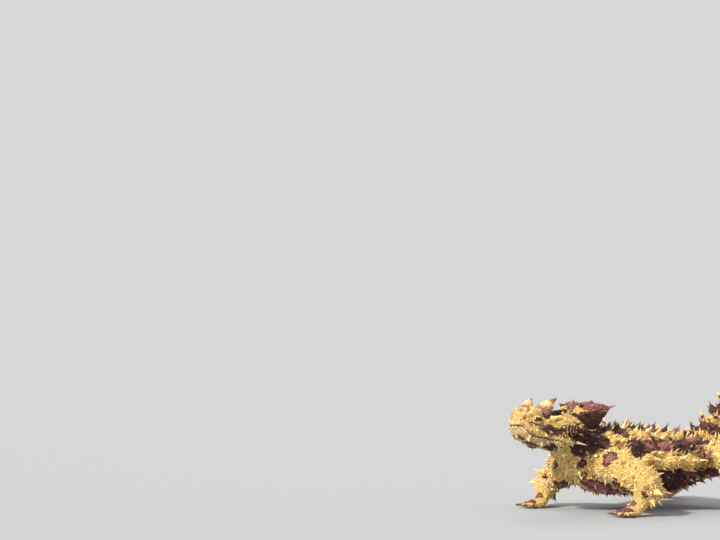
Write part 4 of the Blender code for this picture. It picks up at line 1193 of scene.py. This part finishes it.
def rosettes():
    # rings of bigger grains round the foot of each big spine
    roots, ways, lies, sizes, owners = [], [], [], [], []
    for owner, spine in enumerate(spines):
        side = spine.way.cross(Vector(aslant)).normalized()
        other = spine.way.cross(side)
        big = spine.radius > spinePlan["granularFrom"]
        for layer, reach in enumerate(rosette["reaches" if big else "smallReaches"]):
            count = max(rosette["leastCount"], int(math.tau * spine.radius * reach / rosette["gap"]))
            for j in range(count):
                a = math.tau * (j + 0.5 * layer) / count + drawn.uniform(-rosette["jitter"], rosette["jitter"])
                out = side * math.cos(a) + other * math.sin(a)
                rise = 0.2 + 0.42 * spine.length * (1.08 - reach) + 1.6
                start = spine.root + out * (spine.radius * reach) + spine.way * rise
                hit, normal, _, far = skinTree.ray_cast(start + out, (-spine.way - out * 0.45).normalized())
                if hit is None or far > rosette["farthest"]:
                    continue
                roots.append(hit)
                ways.append((normal + out * 0.25 + spine.way * 0.3).normalized())
                lies.append(spine.way)
                sizes.append(drawn.uniform(*rosette["size"]) * (1.0 if big else rosette["smallSize"]))
                owners.append(owner)
    return np.array(roots), np.array(ways), np.array(lies), np.array(sizes), owners


def grainCoat():
    roseRoots, roseOut, roseLie, roseSize, owners = rosettes()
    gaps = spacingOf(spotWhere)
    u, v, w = headPlaces(spots)
    isHead = spotWhere[:, 0] == 1
    nearEye = np.minimum(*[distances(eyeFrame(side)[0]) for side in bothSides])
    gaps = np.where(nearEye < coat["roundEye"][0], coat["roundEye"][1], gaps)
    allowed = (nearEye > coat["offEye"]) & (spots[:, 2] > coat["offFloor"])
    allowed &= ~(isHead & (np.abs(w - mouthHeight(u)) < coat["offMouth"]) & (u > face["mouthFrom"] + 0.4))
    hornFeet = []
    for side in bothSides:
        a, b, c = face["nostril"]
        allowed &= distances(inHead(a, side * b, c)) > coat["offNostril"]
        allowed &= ~(isHead & (v * side > 0) & (earDistance(u, w) < 1.0))
        foot = inHead(horn["forward"], side * horn["side"], horn["rise"] + 1.6)
        hornFeet.append((tuple(foot), horn["radius"] * 0.86))
    taken = feet(spines, 0.55) + feet(smallRows, 0.9) + hornFeet
    # keeled studs, bigger than the grains, keep off the spines' feet and the grains keep off them
    broad = np.nonzero(allowed & (gaps > 0.5) & (nearEye > 3.4) & (spots[:, 2] > 1.2))[0][::5]
    studs = broad[thin(spots[broad], gaps[broad] * coat["studSpacing"], [(p, r + 0.35) for p, r in taken])]
    studWide = gaps[studs] * grains.uniform(*coat["studWidth"], len(studs)) * np.where(isHead[studs], 0.8, 1.0)
    taken += [(tuple(p), 0.36) for p in roseRoots.tolist()]
    taken += [(tuple(p), r * 0.8 + 0.16) for p, r in zip(spots[studs].tolist(), studWide.tolist())]
    index = np.nonzero(allowed)[0]
    kept = index[thin(spots[index], gaps[index], taken)]
    chosen = np.concatenate([kept, studs])
    roots = np.concatenate([spots[chosen], roseRoots])
    out = np.concatenate([outs[chosen], roseOut])
    where = np.concatenate([spotWhere[chosen], places(roseRoots)])
    lie = np.concatenate([spotWhere[chosen][:, 3:6], roseLie])
    plain = gaps[kept] * grains.uniform(*coat["width"], len(kept)) * np.where(isHead[kept], 1.12, 1.0)
    wide = np.concatenate([plain, studWide, roseSize])
    tall = wide * grains.uniform(*coat["height"], len(wide))
    tall[len(kept):len(chosen)] *= 1.25
    flat = (out[:, 2] < -0.6) & (roots[:, 2] < 8)  # flatter where the belly and the soles face the floor
    tall = np.where(flat, tall * 0.6, tall)
    axes = frames(out, lie, np.full(len(out), coat["lean"]) * (~flat))
    marks = markings(roots, where)
    own = np.array([tuple(s.root) for s in spines])
    marks[len(chosen):] = markings(own, placesOn(own, [s.part for s in spines]))[owners]
    return roots, out, where, wide, tall, axes, marks


roots, out, where, wide, tall, axes, marks = grainCoat()
print("grains:", len(roots))
chance = grains.random(len(roots))
spin = grains.random(len(roots)) * math.tau * 0.15
c, s = np.cos(spin)[:, None], np.sin(spin)[:, None]
turned = np.stack([axes[:, 0] * c + axes[:, 1] * s, axes[:, 1] * c - axes[:, 0] * s, axes[:, 2]], 1)
sizes = np.stack([wide, wide * grains.uniform(0.9, 1.2, len(wide)), tall], 1)
partOf = where[:, 0].astype(int)
isTail = (partOf == 0) & (where[:, 1] > trunk["end"])
under = (partOf == 0) & ~isTail & (out[:, 2] < 0)
firstHind = partNames.index("hindLeftUpper")
groups = {"headGrains": (partOf == 1) | (partOf == knobPart), "backGrains": (partOf == 0) & ~isTail & ~under,
          "bellyGrains": under, "tailGrains": isTail, "foreLegGrains": (partOf >= 2) & (partOf < firstHind),
          "hindLegGrains": (partOf >= firstHind) & (partOf < knobPart)}
for name, chosen in groups.items():
    scatter(name, roots[chosen], turned[chosen], sizes[chosen], marks[chosen], where[chosen], chance[chosen])
    print(name, chosen.sum(), "faces:", len(coatPieces[-1].data.polygons))


eyeLook = {
    "outer": (0.022, 0.012, 0.008), "irisDark": (0.055, 0.022, 0.008), "irisLight": (0.20, 0.095, 0.028),
    "pupil": (0.004, 0.003, 0.003), "irisFrom": 0.80, "pupilFrom": 0.90, "pupilTo": 0.93, "fibreSize": 0.12,
    "specular": 0.3, "coat": 0.4, "rows": 24, "count": 36, "swell": 0.05, "swellWide": 0.5,
}
lid = {
    # how far each fold is on the way from the rim to the hide, and how far out from the eyeball
    "folds": [(0.05, eye["lidThick"]), (0.2, 0.2), (0.36, 0.1), (0.52, 0.16), (0.68, 0.02),
              (0.85, -0.05), (1.1, -0.3)],
    "rim": 0.985, "rimHeight": 0.06, "count": 44, "corner": 0.9, "arch": 1.25, "upper": 0.85, "lower": 1.05,
    "reach": 86, "tries": 900, "gap": 0.29, "grain": (0.14, 0.21), "grainLean": 0.2,
}


def eyeFinish():
    finish = Finish("wetDarkEye")
    gaze = finish.layer("gaze")[0]
    fibres = finish.grain(eyeLook["fibreSize"], 4.0)
    iris = finish.mix(fibres, eyeLook["irisDark"], eyeLook["irisLight"])
    colour = finish.mix(finish.spread(gaze, eyeLook["irisFrom"], eyeLook["pupilFrom"]), eyeLook["outer"], iris)
    inPupil = finish.spread(gaze, eyeLook["pupilFrom"], eyeLook["pupilTo"])
    colour = finish.mix(inPupil, colour, eyeLook["pupil"])
    return finish.dress(baseColor=colour, roughness=0.05 + fibres * 0.05, specular=eyeLook["specular"],
                        coat=eyeLook["coat"], coatRoughness=0.02)


def makeEye(side, material):
    middle, out, long, high = eyeFrame(side)
    rings, values = [], []
    for i in range(1, eyeLook["rows"]):
        tilt = math.pi * i / eyeLook["rows"]
        # the clear front swells a little
        bulge = eye["radius"] * (1 + eyeLook["swell"] * math.exp(-(tilt / eyeLook["swellWide"]) ** 2))
        rings.append([middle + out * (bulge * math.cos(tilt)) + (long * c + high * s) * (bulge * math.sin(tilt))
                      for c, s in circle(eyeLook["count"])])
        values += [math.cos(tilt)] * eyeLook["count"]
    made = joinShapes("eye" + bothSides[side], [(rings, (middleOf(rings[0]), middleOf(rings[-1])))], material)
    shareLayer(made.data, "gaze", values + [1.0, -1.0])
    return made


def makeLids(side):
    # two lids that meet at the corners: from the rim on the eyeball, over two folds, down into the hide
    middle, out, long, high = eyeFrame(side)
    count, r = lid["count"], eye["radius"]
    steps = [(0.0, r * lid["rim"]), (0.0, r + lid["rimHeight"])]
    steps += [(blend, r + more) for blend, more in lid["folds"]]
    rings = []
    for blend, reach in steps:
        ring = []
        for c, s in circle(count):
            wide, tall = eye["openWide"] * abs(c) ** lid["corner"], eye["openHigh"] * abs(s) ** lid["arch"]
            droop = lid["upper"] if s > 0 else lid["lower"]
            opening = math.asin(min(0.95, math.hypot(wide, tall * droop) / r))
            tilt = opening + (math.radians(lid["reach"]) - opening) * blend
            ring.append(middle + out * (reach * math.cos(tilt)) + (long * c + high * s) * (reach * math.sin(tilt)))
        rings.append(ring)
    made = joinShapes("lids" + bothSides[side], [(rings, ())], hideScales)
    points = readPoints(made.data)
    marks = markings(points, places(points))
    onRim = np.arange(len(points)) < count * 2
    marks[:, 0], marks[:, 2] = np.where(onRim, -1.0, 0.5), np.where(onRim, 1.0, 0.0)
    paint(made.data, marks, scaleBody, 0.45)
    roots, outs, lies = [], [], []
    for _ in range(lid["tries"]):
        a, b = drawn.uniform(0, count), drawn.uniform(1.6, len(rings) - 1.05)
        near = [rings[int(b) + k][(int(a) + m) % count] for k in (0, 1) for m in (0, 1)]
        spot = near[0].lerp(near[1], a % 1).lerp(near[2].lerp(near[3], a % 1), b % 1)
        if all((spot - other).length > lid["gap"] for other in roots):
            roots.append(spot)
            outs.append((spot - middle).normalized())
            lies.append((spot - middle - out * (spot - middle).dot(out)).normalized())
    return made, (roots, outs, lies)


def joined(several):
    # roots, ways out and lies of several pieces as three tables
    return [np.array(sum(kind, []), dtype=float) for kind in zip(*several)]


def coatOf(name, roots, out, lie, lean, wide, shape, marks):
    sizes = wide[:, None] * np.array(shape)
    scatter(name, roots, frames(out, lie, np.full(len(roots), lean)), sizes, marks, places(roots),
            grains.random(len(roots)))


eyeMaterial = eyeFinish()
eyes = {side: makeEye(side, eyeMaterial) for side in bothSides}
lids, lidPlaces = {}, []
for side in bothSides:
    lids[side], spotsHere = makeLids(side)
    lidPlaces.append(spotsHere)
roots, out, lie = joined(lidPlaces)
marks = markings(roots, places(roots))
marks[:, 0] = np.where(headPlaces(roots)[2] > eye["rise"] + 0.3, marks[:, 0], marks[:, 0] - 0.25)
wide = grains.uniform(*lid["grain"], len(roots))
coatOf("lidGrains", roots, out, lie, lid["grainLean"], wide, (1.0, 1.0, 0.8), marks)
print("eyes and lids")

hornLook = {
    # colours up the horn, from its foot to its tip
    "stops": [(0.0, (0.42, 0.19, 0.12)), (0.24, (0.52, 0.27, 0.15)), (0.40, (0.80, 0.55, 0.20)),
              (0.62, (0.86, 0.64, 0.30)), (0.78, (0.36, 0.15, 0.07)), (1.0, (0.06, 0.018, 0.014))],
    # shares of the length, and the width there as a share of the foot's
    "profile": ((-0.12, 0.12, 0.36, 0.62, 0.84, 0.95, 1.0), (1.0, 0.96, 0.80, 0.56, 0.28, 0.11, 0.02)),
    "start": -0.12, "span": 1.115, "rows": 22, "count": 28,
    # rings across the horn and ridges along it: depth, how many, and how far the ridges turn
    "ripple": (0.02, 46), "ridges": (0.035, 7, 2),
    # ring of the horn and how many grains stand on it
    "grains": ((4, 22), (5, 22), (6, 20), (7, 19), (8, 17), (9, 15), (10, 13), (11, 10), (12, 8)),
    "grain": (0.26, 0.36), "grainLean": 0.3, "pinkTo": 2.7, "bumpDepth": 0.15,
}


def hornFinish():
    finish = Finish("browHorn")
    height = finish.layer("height")[0]
    fine, streak = finish.grain(0.3), finish.grain(1.1, 2.0)
    place = height + (streak - 0.5) * 0.16
    colour = finish.add("ShaderNodeValToRGB", {"stops": hornLook["stops"]}, {"Fac": place})
    colour = finish.mix(finish.spread(fine, 0.55, 0.75) * 0.35, colour, look["maroon"])
    return finish.dress(baseColor=colour, roughness=0.62 - height * 0.22,
                        normal=finish.bump(fine, hornLook["bumpDepth"], 0.45))


def makeHorn(side, material):
    base = inHead(horn["forward"], side * horn["side"], horn["rise"])
    sidewards, backwards, upwards = horn["lean"]
    lean = headLeft * (side * sidewards) - headForward * backwards + headUp * upwards
    curl = -headForward * horn["curl"][0] - headUp * horn["curl"][1]
    across, rows, count = lean.cross(headForward).normalized(), hornLook["rows"], hornLook["count"]
    other = lean.normalized().cross(across)
    (ripple, ripples), (ridge, ridges, twist) = hornLook["ripple"], hornLook["ridges"]
    rings, values = [], []
    for i in range(rows + 1):
        share = hornLook["start"] + hornLook["span"] * i / rows
        width = np.interp(share, *hornLook["profile"]) * (1 + ripple * math.sin(share * ripples))
        middle = base + lean * (horn["length"] * share) + curl * (horn["length"] * share * abs(share))
        ring = []
        for j, (c, s) in enumerate(circle(count)):
            ridged = 1 + ridge * math.cos(math.tau * j / count * ridges + share * twist)
            ring.append(middle + (across * c + other * s) * (horn["radius"] * width * ridged))
        rings.append(ring)
        values += [max(share, 0)] * count
    made = joinShapes("browHorn" + bothSides[side], [(rings, (middleOf(rings[0]), middleOf(rings[-1])))], material)
    shareLayer(made.data, "height", values + [0.0, 1.0])
    return made, rings


def hornPlaces(rings):
    roots, outs, lies = [], [], []
    count = hornLook["count"]
    for r, amount in hornLook["grains"]:
        for j in range(amount):
            p = Vector(rings[r][int((j + 0.5 * (r % 2)) / amount * count) % count])
            roots.append(p)
            outs.append((p - middleOf(rings[r])).normalized())
            lies.append(Vector(rings[r + 1][0]) - Vector(rings[r][0]))
    return roots, outs, lies


hornMaterial = hornFinish()
horns, hornSpots = {}, []
for side in bothSides:
    horns[side], rings = makeHorn(side, hornMaterial)
    hornSpots.append(hornPlaces(rings))
roots, out, lie = joined(hornSpots)
climb = headPlaces(roots)[2] - horn["rise"]
marks = np.zeros((len(roots), 4))
marks[:, 0], marks[:, 1] = np.where(climb < hornLook["pinkTo"], -0.7, 0.6), 1.0
wide = grains.uniform(*hornLook["grain"], len(roots)) * np.clip(1.25 - climb * 0.1, 0.6, 1.1)
coatOf("hornGrains", roots, out, lie, hornLook["grainLean"], wide, (1.0, 1.1, 0.75), marks)
print("horns")

clawLook = {
    "foot": (0.30, 0.17, 0.08), "tip": (0.035, 0.018, 0.012), "count": 12, "rows": 10, "flat": 0.72,
    # shares of the length, then how it arches up and bends down, and how its width shrinks
    "start": -0.3, "span": 1.28, "arch": (0.26, 2.3, 0.42), "taper": 0.75,
}


def clawFinish():
    finish = Finish("claw")
    fine = finish.grain(0.4, 2.0)
    along = finish.spread(finish.layer("height")[0] + (fine - 0.5) * 0.3, 0.1, 0.8)
    colour = finish.mix(along, clawLook["foot"], clawLook["tip"])
    return finish.dress(baseColor=colour, roughness=0.32 + fine * 0.2)


def makeClaws(material):
    points, faces, values = [], [], []
    count, rows, (up, wave, down) = clawLook["count"], clawLook["rows"], clawLook["arch"]
    for name in legs["joints"]:
        for _, _, end, way in toePlan(name):
            root = end + way * 0.2 + Vector((0, 0, 0.1))
            across = Vector((-way.y, way.x, 0))
            start = len(points)
            for i in range(rows):
                share = clawLook["start"] + clawLook["span"] * i / (rows - 1)
                out = max(share, 0)
                lift = up * math.sin(out * wave) - down * out ** 2
                middle = root + way * (legs["claw"] * share) + Vector((0, 0, lift))
                width = legs["clawRadius"] * (1 - out) ** clawLook["taper"] + 0.02
                points += [middle + across * (c * width * clawLook["flat"]) + Vector((0, 0, s * width))
                           for c, s in circle(count)]
                values += [out] * count
            faces += ringFaces(start, rows, count)
            faces += [tuple(range(first, first + count)) for first in (start, start + (rows - 1) * count)]
    flat = np.array([tuple(p) for p in points])
    flat[:, 2] = np.maximum(flat[:, 2], 0.02)
    made = facingOut("claws", flat, faces, material)
    shareLayer(made.data, "height", values)
    return made


claws = makeClaws(clawFinish())
print("claws")

flesh = ["head", "neck", "nape_knob", "torso", "tail_base", "tail_middle", "tail_tip"]
flesh += [part + "_" + tag for tag in "lr" for part in ("upper_arm", "forearm", "hand", "thigh", "shin", "foot")]
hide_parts(*flesh)
for side, tag in ((1, "l"), (-1, "r")):
    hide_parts("eye_" + tag)
    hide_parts("horn_" + tag)
for piece in [skin, claws, *eyes.values(), *horns.values(), *lids.values(), *coatPieces]:
    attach(piece, "root")

shot = {
    # where the photo was taken from, in the lizard's frame, which way it looks in degrees, and the lens
    "place": (338.0, -306.0, 37.0), "heading": 57.37, "up": 5.8, "lens": 65.0, "sensor": 36.0,
}
studio = {
    # the floor is as bright as the room behind it, so that no horizon shows
    "room": (0.68, 0.68, 0.685), "floorShare": 0.965, "floorSize": 12.0, "speckSize": 1.5, "speck": (0.97, 1.03),
    # place it shines from, power, softness in degrees, colour
    "lights": {"key": ((0.04, -0.80, 0.68), 3.8, 6.0, (1.0, 0.95, 0.87)),
               "rim": ((-0.65, 0.45, 0.60), 0.7, 20.0, (1.0, 0.97, 0.93))},
}


def makeCamera():
    heading, up = math.radians(shot["heading"]), math.radians(shot["up"])
    ahead = Vector((-math.sin(heading) * math.cos(up), math.cos(heading) * math.cos(up), math.sin(up)))
    camera = linked("camera", bpy.data.cameras.new("camera"))
    camera.data.lens, camera.data.sensor_width = shot["lens"], shot["sensor"]
    camera.data.clip_start, camera.data.clip_end = 0.005, 50
    camera.location = toRow([shot["place"]])[0]
    camera.rotation_euler = ahead.to_track_quat("-Z", "Y").to_euler()
    bpy.context.scene.camera = camera


def makeLight(name, place, power, softness, colour):
    lamp = bpy.data.lights.new(name, "SUN")
    lamp.energy, lamp.angle, lamp.color = power, math.radians(softness), colour
    made = linked(name, lamp)
    made.location = place
    made.rotation_euler = (-Vector(place)).to_track_quat("-Z", "Y").to_euler()


def makeStage():
    light = list(studio["room"])
    for name, (place, power, softness, colour) in studio["lights"].items():
        makeLight(name, place, power, softness, colour)
        rise = Vector(place).normalized().z
        light = [have + shade * power * rise / math.pi for have, shade in zip(light, colour)]
    grey = [studio["floorShare"] * room / have for room, have in zip(studio["room"], light)]
    finish = Finish("paleFloor")
    darker, lighter = [tuple(shade * share for shade in grey) for share in studio["speck"]]
    finish.dress(baseColor=finish.mix(finish.grain(studio["speckSize"]), darker, lighter),
                 roughness=0.9, specular=0.1)
    bpy.ops.mesh.primitive_plane_add(size=studio["floorSize"])
    floor = bpy.context.object
    floor.name = "floor"
    floor.data.materials.append(finish.material)
    floor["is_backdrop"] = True
    world = bpy.data.worlds.new("softRoom")
    world.use_nodes = True
    world.node_tree.nodes["Background"].inputs["Color"].default_value = (*studio["room"], 1)
    bpy.context.scene.world = world


makeCamera()
makeStage()
bpy.context.scene.view_settings.view_transform = "Standard"
print("camera, floor and lights")

boxes = {"cad": cadBox, "scene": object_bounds()}
sizes = {name: [list(map(float, corner)) for corner in box] for name, box in boxes.items()}
